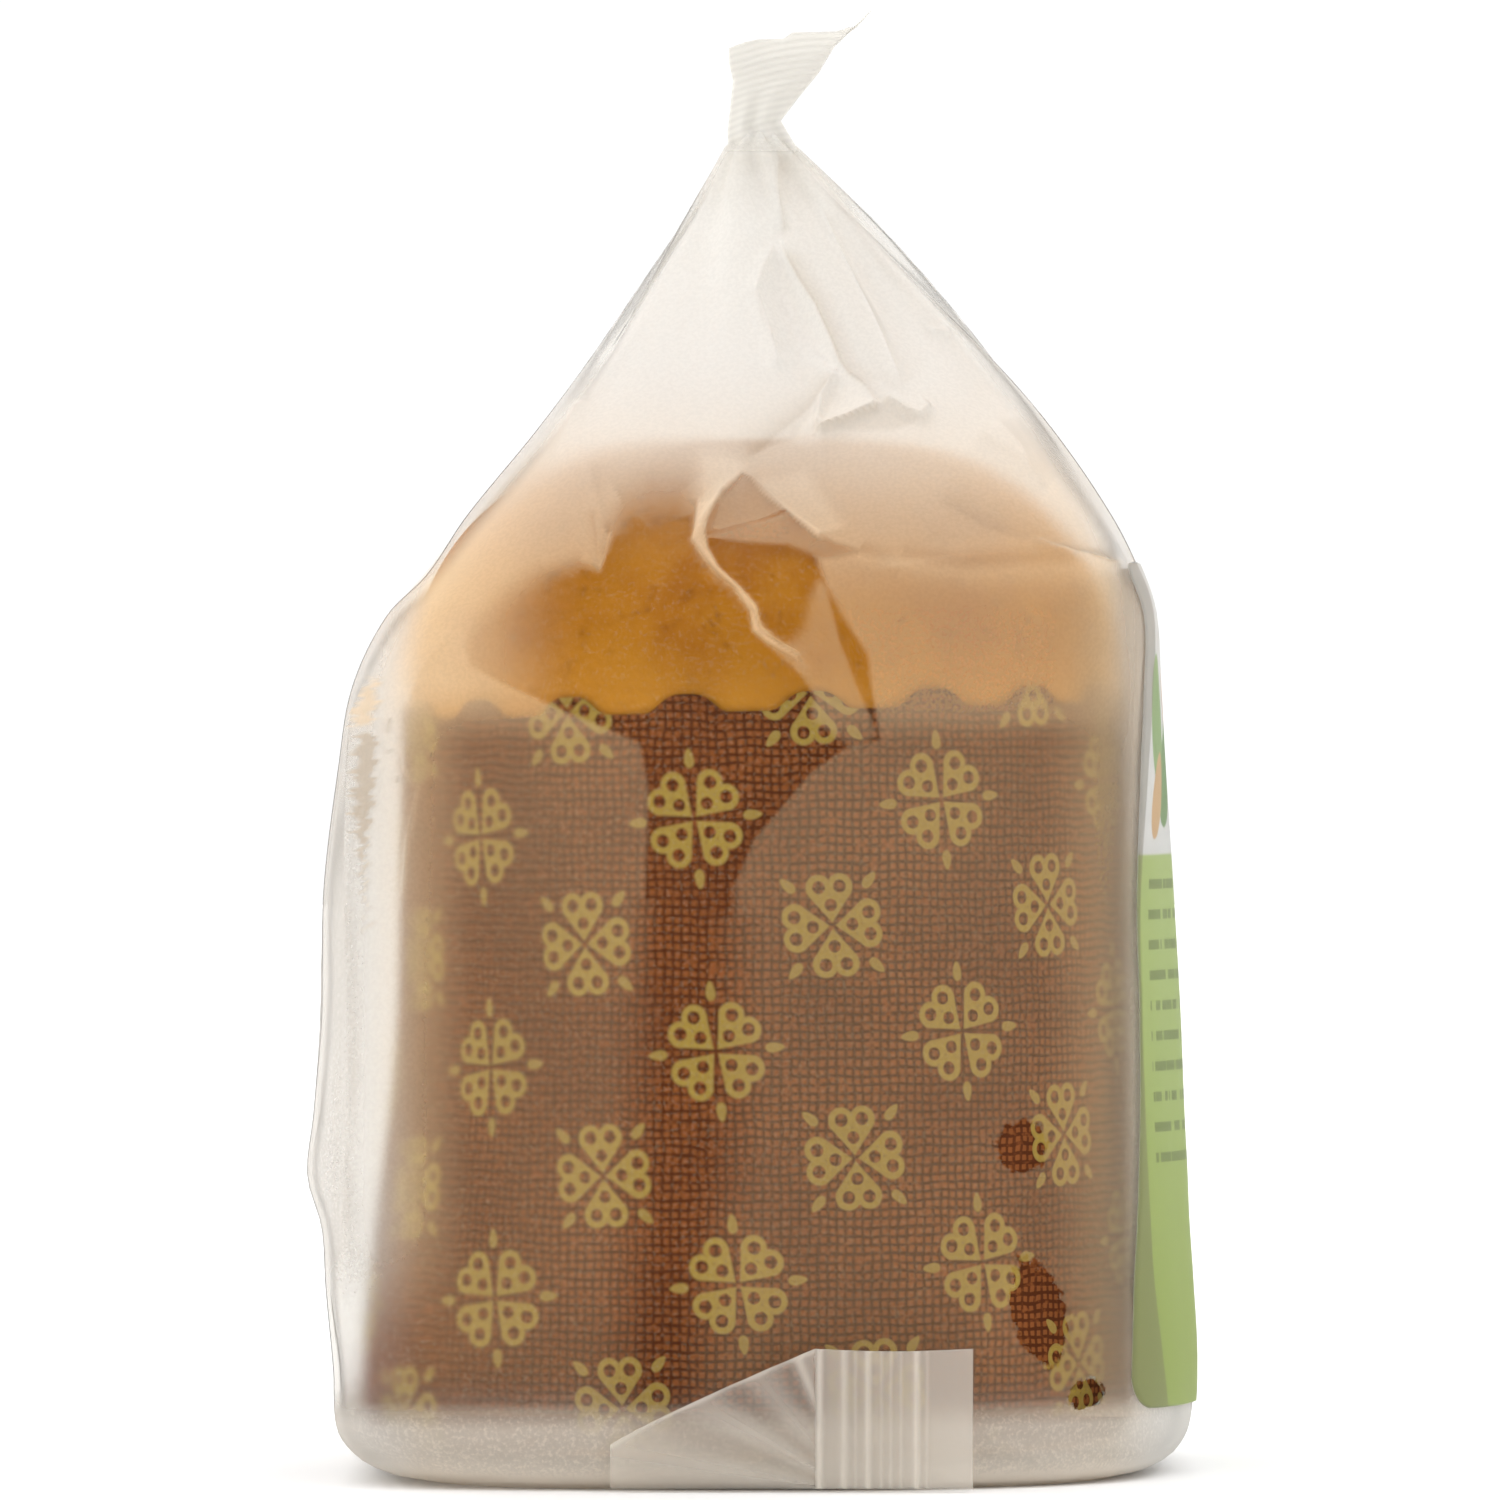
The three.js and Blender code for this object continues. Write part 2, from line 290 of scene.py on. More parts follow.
tree.nodes["Background"].inputs["Color"].default_value = (1, 1, 1, 1)
tree.links.new(glow.socket, tree.nodes["Background"].inputs["Strength"])

floorMaterial, tree = newMaterial("pale table")
place, _ = objectPlace(tree)
mottle = noise(tree, place, 6.0).ramp(0.3, 0.7)
colour = blendColours(tree, mottle, (0.93, 0.93, 0.93, 1), (0.95, 0.95, 0.95, 1))
outputTo(tree, shaderOf(tree, "Principled", {"Roughness": 0.7, "Base Color": colour}))
floorSide = 4000.0
floorPiece = finishMesh("table", [(-floorSide, -floorSide, 0), (floorSide, -floorSide, 0),
                        (floorSide, floorSide, 0), (-floorSide, floorSide, 0)], [(0, 1, 2, 3)], floorMaterial)
floorPiece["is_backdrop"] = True
print("camera, light and table ready")

# The bag's form: level sections, which are rounded rectangles with four corners of their own.
stations = np.array([
    # height, left, right, near, far, then the squareness near left, near right, far right, far left
    [0, -34.4, 35.6, 33, 33, 4, 2.8, 3.4, 4],
    [0.7, -37.6, 38.6, 35, 35, 4.4, 2.7, 3.6, 4.2],
    [2.2, -40.3, 41, 36.6, 36.8, 5, 2.5, 3.8, 4.4],
    [5, -42.2, 42.4, 37.4, 38, 6, 2.3, 4, 4.6],
    [11, -42.5, 42.8, 37.8, 38.7, 7, 2.1, 4, 4.8],
    [19, -43.2, 42.4, 38, 39, 7.5, 2, 4, 5],
    [25, -43.6, 42, 38, 39, 7.5, 2, 4, 5],
    [30, -45, 41.8, 38, 39, 7.5, 2, 4, 5],
    [36, -44.4, 41.5, 38, 39, 7.5, 2, 4, 5],
    [46, -43.6, 41.1, 38, 39, 7.5, 2, 4, 5],
    [58, -43.4, 40.4, 38, 39, 7.5, 2.1, 4, 5],
    [70, -42, 39.6, 37.9, 38.8, 7, 2.5, 4, 4.8],
    [78, -40.7, 39.1, 37.4, 38.2, 6, 3, 4, 4.5],
    [85, -37.4, 38.6, 36.2, 36.9, 5, 3.6, 4, 4.2],
    [89, -33.6, 37.4, 34.2, 35, 4.4, 3.7, 3.9, 4],
    [95, -29.6, 34.5, 29.8, 30.4, 3.8, 3.4, 3.6, 3.7],
    [104, -22.2, 28.2, 21.6, 22.4, 3.2, 3, 3.2, 3.2],
    [113, -15.5, 20.8, 14.2, 15.2, 2.8, 2.6, 2.8, 2.8],
    [123, -9, 11.8, 7.8, 8.4, 2.4, 2.4, 2.4, 2.4],
    [129, -5.3, 5.9, 4.4, 4.6, 2.2, 2.2, 2.2, 2.2],
    [132, -3.7, 2.9, 3, 3.1, 2, 2, 2, 2],
])
neck = {"height": 134.5, "gathers": 9, "from": 90.0, "depth": 0.13, "turn": 0.9, "valley": 0.1}


def alongStations(height, column):
    # cubic pieces through the stations, whose slopes are the chords' mean
    z, value = stations[:, 0], stations[:, column]
    before = np.maximum(np.arange(len(z)) - 1, 0)
    after = np.minimum(np.arange(len(z)) + 1, len(z) - 1)
    slope = (value[after] - value[before]) / (z[after] - z[before])
    i = np.clip(np.searchsorted(z, height, side="right") - 1, 0, len(z) - 2)
    span = z[i + 1] - z[i]
    t = (height - z[i]) / span
    level = value[i] * (1 + 2 * t) * (1 - t) ** 2 + value[i + 1] * t * t * (3 - 2 * t)
    return level + span * (slope[i] * t * (1 - t) ** 2 + slope[i + 1] * t * t * (t - 1))


def skinPoint(angle, height, inset=0.0):
    # a superellipse round the axis whose squareness changes from corner to corner; towards the neck a
    # cosine round the bag gathers it and the two gussets sink in
    height = np.asarray(height, float)
    left, right, near, far, nearLeft, nearRight, farRight, farLeft = [
        alongStations(height, column) for column in range(1, 9)]
    middle, half = (left + right) / 2, (right - left) / 2 - inset
    cosine, sine = np.cos(angle), np.sin(angle)
    toRight, toFar = smooth(0.5 + 2 * cosine), smooth(0.5 + 2 * sine)
    square = (1 - toFar) * ((1 - toRight) * nearLeft + toRight * nearRight) \
        + toFar * ((1 - toRight) * farLeft + toRight * farRight)
    depth = (1 - toFar) * near + toFar * far - inset
    reach = (np.abs(cosine / half) ** square + np.abs(sine / depth) ** square) ** (-1 / square)
    up = np.clip((height - neck["from"]) / (neck["height"] - neck["from"]), 0, 1)
    pleats = neck["depth"] * up * up * np.cos(neck["gathers"] * (angle + neck["turn"] * up))
    valley = neck["valley"] * np.sin(np.pi * up) * np.abs(sine) ** 12
    reach = reach * (1 + pleats - valley)
    return np.stack([middle + reach * cosine, reach * sine, height + 0 * reach], axis=-1)


def seenPlace(points):
    # where the camera sees a point, as x and z in the upright plane through the axis
    scale = view["distance"] / (view["distance"] + points[..., 1])
    return ((points[..., 0] + view["left"]) * scale - view["left"],
            view["height"] + (points[..., 2] - view["height"]) * scale)


def angleAt(part, target, height, low, high, inset=0.0):
    # halves the range of the angle until that part of the skin's point, 0 for x or 1 for y, is the target
    low, high = np.full(np.shape(target), low), np.full(np.shape(target), high)
    for _ in range(26):
        angle = (low + high) / 2
        under = skinPoint(angle, height, inset)[..., part] < target
        low, high = np.where(under, angle, low), np.where(under, high, angle)
    return (low + high) / 2


def nearSkin(seenX, seenZ, inset=0.0):
    # the point of the near side that the camera sees at this place
    seenX, seenZ = np.broadcast_arrays(np.asarray(seenX, float), np.asarray(seenZ, float))
    y = np.full(seenX.shape, -36.0)
    for _ in range(4):
        scale = view["distance"] / (view["distance"] + y)
        x = (seenX + view["left"]) / scale - view["left"]
        z = np.clip((seenZ - view["height"]) / scale + view["height"], 0, 133.0)
        points = skinPoint(angleAt(0, x, z, -np.pi, 0.0, inset), z, inset)
        y = points[..., 1]
    return points


# Folds and ridges of the film as the camera sees them: how far the crest stands out, how far it reaches
# to the left and to the right of its line's direction, how milky the stretched crest is, and the line, as
# x and z in the upright plane through the axis.
creases = [
    # the long folds that hang from the neck
    (-1.0, 3.5, 1.2, 0, [(1.1, 132.4), (1.4, 128), (1.6, 124.7), (1.3, 122.4)]),
    (0.8, 3, 1.5, 0.05, [(1.3, 122.4), (-0.2, 120.4), (-1.1, 117.6), (0.3, 113.5), (1.4, 109.2)]),
    (1.1, 1.4, 4, 0.06, [(1.8, 124), (2.9, 120.9), (5.2, 116.5), (7.5, 111.2), (8.4, 109.2),
        (11.6, 106.7)]),
    (0.7, 1.6, 3.5, 0.08, [(5.2, 126.5), (6.2, 124.5), (9, 118.1), (11.8, 112.5), (13.1, 109.4),
        (13.5, 107.4)]),
    # the star of small facets under them
    (0.9, 4, 0.9, 0.04, [(4.9, 103.4), (5.7, 106.6), (7.6, 109.3)]),
    (1.2, 2.8, 0.8, 0.1, [(4.9, 103.4), (8.5, 104.6), (10.8, 105.7), (11.6, 106.6)]),
    (1.0, 2.6, 0.8, 0.1, [(11.8, 106.9), (14.1, 105.3), (15.6, 104.9), (16.9, 106.2)]),
    (-0.8, 3, 3, 0, [(5.7, 106.5), (2.9, 103.5), (-1.6, 101.8), (-2.4, 99.7)]),
    (0.5, 1.2, 1.2, 0.03, [(16, 113.6), (18.7, 113.2)]),
    # the bright ridge that snakes down over the cake
    (1.7, 2.2, 1.6, 0.3, [(-2.4, 99.6), (-4.8, 96.7), (-6.4, 94), (-7.1, 92.4), (-6.3, 90.9), (-4.8, 89),
        (-2.8, 87.4), (-1.2, 85.5), (-0.6, 83.6), (1.3, 82.3), (3.2, 81), (4.7, 78.4)]),
    (1.0, 1.2, 2, 0.14, [(-2.3, 99.5), (0, 97.4), (2.3, 95.2), (5.1, 93.3), (6.9, 92.2)]),
    (0.8, 0.8, 2.4, 0.1, [(-6.2, 93), (-3.2, 93.8), (1.8, 94.8), (2.8, 95)]),
    (0.8, 1, 1, 0.12, [(-4, 97.5), (-5.4, 95), (-5.8, 93)]),
    # the dent that points down at the left
    (-1.0, 1.4, 1.4, 0.05, [(-17.4, 96.1), (-16.6, 90), (-15.5, 94.8)]),
    (0.7, 4, 4, 0, [(-17.6, 97), (-20, 102), (-18, 107)]),
    # the shoulder that runs to the corner at the right
    (0.9, 2.2, 4, 0.05, [(6.9, 92.2), (11, 89.5), (19, 90.8), (30, 91.2), (34, 90.1), (36.6, 90.6)]),
    (0.7, 3, 1.5, 0.03, [(22.6, 104.6), (25.3, 101.8), (26.2, 99.5), (28.2, 97.8)]),
    (0.8, 0.8, 1.6, 0.12, [(26.2, 92.9), (31, 91), (34.1, 90.2), (36.3, 90.4)]),
    # the pleat that ends in a rounded tip over the rim of the case
    (0.8, 1.8, 1, 0.03, [(5.8, 88.7), (7.4, 82.7), (9.3, 78), (11.5, 73.4)]),
    # upright folds beside the near left edge
    (0.8, 0.9, 1.6, 0.1, [(-40.9, 87), (-41.4, 74), (-41.6, 60), (-41.3, 34), (-42, 16)]),
    (0.9, 1.6, 1, 0.12, [(-36.5, 73.4), (-36.2, 69.8), (-35, 68), (-36, 62), (-36.4, 56)]),
    (0.5, 1.5, 3, 0.03, [(-31, 84), (-34, 80), (-37.5, 74), (-38.6, 66)]),
    # the bottom's folds
    (0.6, 1, 1.2, 0.15, [(-37.8, 4.7), (-29.9, 5.4), (-16.4, 5.8)]),
    (0.5, 1, 1, 0.1, [(-31.5, 4.5), (-33.5, 1.4), (-22, 3.3), (-15.6, 3.7)]),
    (0.7, 1, 1.2, 0.15, [(20.5, 2.9), (22.7, 4.1), (35.5, 4.7), (39, 6)]),
    (0.6, 1, 1, 0.12, [(20.4, 2.8), (27, 0.6), (34.7, 1.8), (40, 0.6)]),
]
# How far the slack near film stands off the case: most, middle and width of each swell.
swells = [(4.6, -8, 11), (-1.7, 27, 8), (-4.0, -29, 6)]


def fadedEnds(along, share):
    # 1 along a line, falling to 0 over this share of it at both ends
    return smooth(along / share) * smooth((1 - along) / share)


def nearestOnLine(x, z, line):
    # distance to the nearest leg of a line, negative on its left, and how far along the line it is
    line = np.array(line, float)
    legs = np.linalg.norm(np.diff(line, axis=0), axis=1)
    starts = np.concatenate([[0], np.cumsum(legs)])
    distance, along = np.full(x.shape, 1e9), np.zeros(x.shape)
    for first, last, leg, start in zip(line[:-1], line[1:], legs, starts):
        dx, dz = (last - first) / leg
        t = np.clip((x - first[0]) * dx + (z - first[1]) * dz, 0, leg)
        awayX, awayZ = x - first[0] - t * dx, z - first[1] - t * dz
        away = np.hypot(awayX, awayZ)
        side = np.where(dx * awayZ - dz * awayX > 0, -1.0, 1.0)
        closer = away < np.abs(distance)
        distance = np.where(closer, away * side, distance)
        along = np.where(closer, (start + t) / starts[-1], along)
    return distance, along


def nearRelief(seenX, seenZ):
    # the sum over the creases of height times the square of one less distance over reach, faded at both
    # ends and lower below the neck's folds, whose milkiness falls off faster; bell curves add the swells
    relief, milky = np.zeros(seenX.shape), np.zeros(seenX.shape)
    for high, left, right, white, line in creases:
        distance, along = nearestOnLine(seenX, seenZ, line)
        share = np.clip(1 - np.abs(distance) / np.where(distance < 0, left, right), 0, 1)
        faded = fadedEnds(along, 0.12)
        relief += high * share ** 2 * faded * (1 - 0.4 * smooth((102 - seenZ) / 5))
        milky = np.maximum(milky, white * np.clip(1 - np.abs(distance) / 0.7, 0, 1) * faded)
    swell = sum(most * np.exp(-((seenX - middle) / wide) ** 2) for most, middle, wide in swells)
    relief += swell * smooth((seenZ - 10) / 12) * smooth((82 - seenZ) / 14)
    return relief, milky


def puckers(angle, height, seed, count, size):
    # ridges of random place, turn and length over angle times 40 and height, added up
    wholeTurn, halfTurn = 251.33, 125.66
    draw = np.random.default_rng(seed)
    relief = np.zeros(np.broadcast(angle, height).shape)
    for _ in range(count):
        middle = draw.uniform((-125, 6), (125, 125))
        turn, length, width = draw.uniform(0, np.pi), draw.uniform(6, 22), draw.uniform(1.2, 3.5)
        high = draw.uniform(-1, 1) * size
        x = (angle * 40 - middle[0] + halfTurn) % wholeTurn - halfTurn
        z = height - middle[1]
        along, away = x * np.cos(turn) + z * np.sin(turn), z * np.cos(turn) - x * np.sin(turn)
        away = away + 0.012 * along ** 2 * np.sign(high)
        relief += high * np.clip(1 - np.abs(away) / width, 0, 1) ** 2 * smooth(1 - np.abs(along) / length)
    return relief


def filmPoint(angle, height):
    # the skin moved along its own normal by the creases on the near side and by puckers elsewhere
    points = skinPoint(angle, height)
    normal = gridNormals(points)
    seenX, seenZ = seenPlace(points)
    relief, milky = nearRelief(seenX, seenZ)
    facing = smooth((-normal[..., 1] - 0.1) / 0.3)
    calm = 0.25 * smooth((height - 70) / 15)
    elsewhere = puckers(angle, height, 5, 90, 0.9) * smooth((normal[..., 1] + 0.1 - calm) / 0.2)
    drawn = smooth((132 - height) / 12)
    points = points + normal * ((relief * facing + elsewhere) * drawn)[..., None]
    points[..., 2] = np.maximum(points[..., 2], 0.02)
    return points, milky * facing


# The paper baking case, and the clover ornaments on it: turns in degrees round the axis from the
# front, the rest in millimetres.
paper = {"bottomRadius": 37.2, "rimRadius": 36.2, "rim": 74.2, "edgeRadius": 5.0, "bottom": 2.2,
         "scallopHeight": 0.9, "footBulge": 3.4, "tilt": 0.9, "wall": 0.3}
ornament = {"columnTurn": 19.58, "columnWidth": 12.71, "firstColumn": -40.24, "lean": 0.151,
            "rowHeight": 22.5, "firstRow": 18.2, "rise": 0.92}
weave = {"weft": 0.86, "warp": 0.9}  # from thread to thread
diagonal = 0.7071


def cloverMask(tree, x, y):
    # four heart-shaped leaves round a point, each two lobes and a cone with three round holes, and four
    # seeds between them; x and y in millimetres
    across, up = abs(x), abs(y)
    along, away = (across + up) * diagonal, abs(across - up) * diagonal
    lobe = ((along - 3.7) ** 2 + (away - 1.07) ** 2) ** 0.5 - 1.3
    cone = (away * 0.785 - (along - 0.28) * 0.62).most(along - 2.9)
    leaf = lobe.least(cone)
    holes = (((along - 3.75) ** 2 + (away - 1.05) ** 2) ** 0.5 - 0.62).least(
        ((along - 2.0) ** 2 + away ** 2) ** 0.5 - 0.6)
    seedLong, seedWide = across.most(up), across.least(up)
    seedWidth = seedLong.ramp(4.9, 6.8, 0.62, 0.34, False)
    seed = (((seedLong - 5.85) / 0.95) ** 2 + (seedWide / seedWidth) ** 2) ** 0.5 - 1
    solid = leaf.ramp(-0.05, 0.05, 1, 0) * holes.ramp(-0.05, 0.05, 0, 1)
    outline = abs(leaf + 0.3).ramp(0.02, 0.12, 1, 0).most(abs(holes - 0.2).ramp(0.02, 0.1, 1, 0)) * solid
    return solid.most((seed * 0.6).ramp(-0.06, 0.06, 1, 0)), outline


paperMaterial, tree = newMaterial("printed case paper")
turn, up = attribute(tree, "turn"), attribute(tree, "up")
column = (turn - ornament["firstColumn"] + up * ornament["lean"]) / ornament["columnTurn"]
rowPlace = up - column * ornament["rise"] - ornament["firstRow"]
gold, outline = None, None
for shift in (0, 1):
    pair = (column - shift) * 0.5
    level = (rowPlace - shift * ornament["rowHeight"] / 2) / ornament["rowHeight"]
    x = (pair - pair.nearest()) * (2 * ornament["columnWidth"])
    y = (level - level.nearest()) * ornament["rowHeight"]
    if shift:
        x, y = (x + y) * diagonal, (y - x) * diagonal
    mask, lines = cloverMask(tree, x, y)
    gold, outline = (mask, lines) if gold is None else (gold.most(mask), outline.most(lines))
around = turn * (np.pi / 180 * paper["bottomRadius"])
wobble = noise(tree, vectorOf(tree, around * 0.25, up * 0.25), 1.0, 3.0)
weft = ((up + wobble) * (2 * np.pi / weave["weft"])).sine()
warp = ((around + wobble) * (2 * np.pi / weave["warp"])).sine()
threadNoise = noise(tree, vectorOf(tree, around * 0.7, up * 1.1), 1.0, 3.0, 0.6)
threads = (weft.ramp(-0.1, 0.7) + warp.ramp(-0.1, 0.7) * 0.9).least(1.0) * threadNoise.ramp(0.24, 0.5)
patch = noise(tree, vectorOf(tree, around * 0.06, up * 0.06), 1.0, 2.0).ramp(0.35, 0.65)
ground = blendColours(tree, patch, linear(148, 87, 46), linear(130, 73, 38))
ground = blendColours(tree, threads * 0.92, ground, linear(78, 40, 17))
goldInk = blendColours(tree, outline * 0.5, linear(164, 140, 74), linear(186, 160, 66))
goldInk = blendColours(tree, threads * 0.18, goldInk, linear(140, 108, 46))
outputTo(tree, shaderOf(tree, "Principled", {
    "Base Color": blendColours(tree, gold, ground, goldInk), "Roughness": gold.ramp(0, 1, 0.7, 0.5),
    "Specular IOR Level": 0.08, "Normal": bump(tree, weft.most(warp) + threadNoise, 0.00004, 0.5)}))

# The wall rises from a flat bottom over a rounded edge to a scalloped rim; columns run once round
# to a glued seam at the back, where the last of them lie over the first.
columns, rows = 441, 90
turns = np.linspace(90, 453, columns)
part = np.linspace(0, 1, rows)
edge = paper["edgeRadius"]
arc = np.pi / 2 * edge
path = part * (paper["bottomRadius"] - edge + arc + paper["rim"] - edge)
flat, bend = paper["bottomRadius"] - edge, paper["bottomRadius"] - edge + arc
swing = np.clip((path - flat) / edge, 0, np.pi / 2)
radius = np.minimum(path, flat) + edge * np.sin(swing)
height = paper["bottom"] + edge * (1 - np.cos(swing)) + np.maximum(path - bend, 0)
radius = radius - (paper["bottomRadius"] - paper["rimRadius"]) * np.maximum(path - bend, 0) / paper["rim"]
radians = np.radians(turns)
columnAtRim = turns - 270 - ornament["firstColumn"] + ornament["lean"] * paper["rim"]
columnAtRim = columnAtRim / ornament["columnTurn"]
scallop = paper["scallopHeight"] * (2 * smooth(0.35 + 0.65 * np.cos(2 * np.pi * columnAtRim)) - 1)
scallop = scallop + paper["tilt"] * np.cos(radians)
lift = smooth((height - 55) / (paper["rim"] - 55))[:, None] * scallop[None, :]
overlap = (paper["wall"] + 0.1) * smooth((turns - 446) / 3)
caseRadius = radius[:, None] + overlap
casePoints = np.stack([caseRadius * np.cos(radians), caseRadius * np.sin(radians),
                       height[:, None] + lift], axis=-1)
# the foot bulges to the left
footShare = smooth((-casePoints[..., 0] - 16) / 21) * smooth((50 - casePoints[..., 2]) / 45)
casePoints[..., 0] -= paper["footBulge"] * footShare
turnAttribute = np.broadcast_to(turns - 270, (rows, columns))
paperCase = finishMesh("paper_case", casePoints, gridFaces(rows, columns), paperMaterial,
                       {"turn": turnAttribute, "up": casePoints[..., 2]}, paper["wall"])
belongs(paperCase)
print("paper case made")

# The cake: a straight side under a domed crust.
cake = {"radius": 35.6, "top": 102.6, "shoulder": 79.0, "bottom": 3.0, "bottomRows": 0.1, "domeRows": 0.65,
        "outLumps": 0.012, "upLumps": 0.5}
crustMaterial, tree = newMaterial("baked crust")
place, (_, _, z) = objectPlace(tree)
broad = noise(tree, place, 45.0, 4.0, 0.6).ramp(0.35, 0.68)
pores = noise(tree, place, 420.0, 3.0, 0.65)
colour = blendColours(tree, broad, linear(186, 124, 28), linear(158, 92, 16))
colour = blendColours(tree, pores.ramp(0.55, 0.75) * 0.5, colour, linear(112, 62, 14))
# painted light: the crust turns lighter from 84 mm down to 74 mm, just above the case's rim, against its
# shade
colour = blendColours(tree, z.ramp(0.084, 0.074) * 0.8, colour, linear(214, 150, 52))
outputTo(tree, shaderOf(tree, "Principled", {
    "Base Color": colour, "Roughness": 0.5, "Specular IOR Level": 0.1,
    "Normal": bump(tree, pores + broad * 2.0, 0.0004, 0.6)}))

# The first tenth of the rows is the flat bottom, then the side rises to the shoulder, and in the rest
# powers of cosine and sine round off the dome; sines round the axis make its lumps.
columns, rows = 320, 150
domeFrom = 1 - cake["domeRows"]
angle, part = np.meshgrid(np.linspace(-np.pi, np.pi, columns, endpoint=False), np.linspace(0, 1, rows))
rise = np.clip((part - domeFrom) / cake["domeRows"], 0, 1)
rounded = np.cos(rise * np.pi / 2) ** 0.62
outward = np.where(part < domeFrom, np.clip(part / cake["bottomRows"], 0, 1), rounded)
upward = np.clip((part - cake["bottomRows"]) / (domeFrom - cake["bottomRows"]), 0, 1)
side = cake["bottom"] + (cake["shoulder"] - cake["bottom"]) * upward
dome = cake["shoulder"] + (cake["top"] - cake["shoulder"]) * np.sin(rise * np.pi / 2) ** 1.15
height = np.where(part < domeFrom, side, dome)
draw = np.random.default_rng(3)
lumps = sum(draw.uniform(0.2, 0.5) * np.sin(k * angle + draw.uniform(0, 6))
            * np.sin(rise * np.pi * draw.integers(1, 4)) for k in (2, 3, 4, 5, 7, 9))
radius = cake["radius"] * outward * (1 + cake["outLumps"] * lumps)
height = height + cake["upLumps"] * lumps * rise
cakePoints = np.stack([radius * np.cos(angle), radius * np.sin(angle), height], axis=-1)
panettone = finishMesh("panettone", cakePoints, gridFaces(rows, columns, True), crustMaterial, weld=True)
belongs(panettone)
print("panettone made")

# The film: its thickness in millimetres, and how much its frosting blurs.
film = {"thick": 0.08, "roughness": 0.25, "index": 1.2}
spots = [
    # where the film sticks to the paper: x, z, half width, half height, lean
    (25.0, 33.1, 2.6, 2.6, 0.0), (26.6, 17.0, 2.8, 5.2, -0.2), (31.3, 8.9, 1.9, 1.5, 0.2),
]


def milkyCloud(tree, normal):
    # what the film scatters: two thirds back to the side it came from, one third through; painted warm light
    # tints it where the cake and its case lie behind, and painted shade darkens it in the hollows of folds
    tint = blendColours(tree, attribute(tree, "paintedWarmLight"), (0.9, 0.88, 0.835, 1), (0.97, 0.73, 0.45, 1))
    tint = blendColours(tree, attribute(tree, "shade"), tint, (0.6, 0.5, 0.38, 1))
    return mixShaders(tree, 0.35, shaderOf(tree, "Diffuse", {"Color": tint, "Normal": normal}),
                      shaderOf(tree, "Translucent", {"Color": tint, "Normal": normal}))


def filmNormal(tree, place, strength):
    # fine grain of the film, and slack crinkles, sharper where it is scuffed; both die out at a flat angle
    seen = flatness(tree).ramp(0.45, 0.8, 1, 0)
    grain = (noise(tree, place, 2600.0, 1.0, 0.6) - 0.5) * seen + 0.5
    crinkle = noise(tree, place, 420.0, 2.0, 0.6, 0.4)
    return grain, bump(tree, crinkle * (attribute(tree, "pitted") * 1.4 + 0.25) * seen, 0.0005, strength)


def pittedAt(points):
    # 1 in the scuffed patch at the shoulder on the right, as the camera sees it
    seenX, seenZ = seenPlace(points)
    along, away = seenX - 21, seenZ - 95
    return np.exp(-(along / 12) ** 2 - ((away + 0.3 * along) / 8) ** 2) * (points[..., 1] < 0)


def spotAt(points):
    # distance from the nearest contact spot's middle, 1 on its rim
    x, y, z = points[..., 0], points[..., 1], points[..., 2]
    distance = np.full(x.shape, 3.0)
    for spotX, spotZ, wide, high, lean in spots:
        across = x - spotX - (z - spotZ) * lean
        distance = np.minimum(distance, np.hypot(across / wide, (z - spotZ) / high))
    return np.where(y < 0, distance, 3.0)


def stuckShare(tree, place):
    # 1 inside the ragged spots where nothing scatters
    fray = noise(tree, place, 700.0, 2.0, 0.7) * 0.9 - 0.45
    return (attribute(tree, "spot") + fray).ramp(0.93, 1.03, 1, 0)


def wallShaders(tree):
    # what both sides of the film's wall are mixed from: frosted film, film passed straight at a flat angle,
    # clear film for shadows, and where the angle is flat
    frosted = shaderOf(tree, "Refraction", {"Color": (0.975, 0.97, 0.96, 1), "Roughness": film["roughness"],
                                            "IOR": film["index"]}, distribution="BECKMANN")
    straight = shaderOf(tree, "Refraction", {"Color": (0.98, 0.975, 0.965, 1), "Roughness": 0.0,
                                             "IOR": 1.002})
    clear = shaderOf(tree, "Transparent", {"Color": (0.97, 0.965, 0.955, 1)})
    return frosted, straight, clear, flatness(tree).ramp(0.6, 0.85)


def lettingShadows(tree, body, clear):
    # the body for the eye, clear film for light on its way to what lies behind
    shadow = addNode(tree, "ShaderNodeLightPath").outputs["Is Shadow Ray"]
    outputTo(tree, mixShaders(tree, shadow, body, clear))


outerFilm, tree = newMaterial("frosted film")
place, _ = objectPlace(tree)
grain, normal = filmNormal(tree, place, 0.35)
milky = attribute(tree, "milky") * grain.ramp(0.3, 0.7, 0.95, 1.05) + grain.ramp(0.5, 0.78, 0, 0.1)
frosted, straight, clear, flat = wallShaders(tree)
sheen = shaderOf(tree, "Glossy", {"Color": (1, 1, 1, 1), "Roughness": 0.32, "Normal": normal})
body = mixShaders(tree, flat, frosted, straight)
body = mixShaders(tree, mirrored(tree, 0.1) * 0.25, body, sheen)
body = mixShaders(tree, milky.least(0.95), body, milkyCloud(tree, normal))
body = mixShaders(tree, stuckShare(tree, place), body, clear)
lettingShadows(tree, body, clear)

liningFilm, tree = newMaterial("frosted film, inner side")
frosted, straight, clear, flat = wallShaders(tree)
blurred = attribute(tree, "spot").ramp(0.9, 1.1) * flat.rest()
lettingShadows(tree, mixShaders(tree, blurred, straight, frosted), clear)

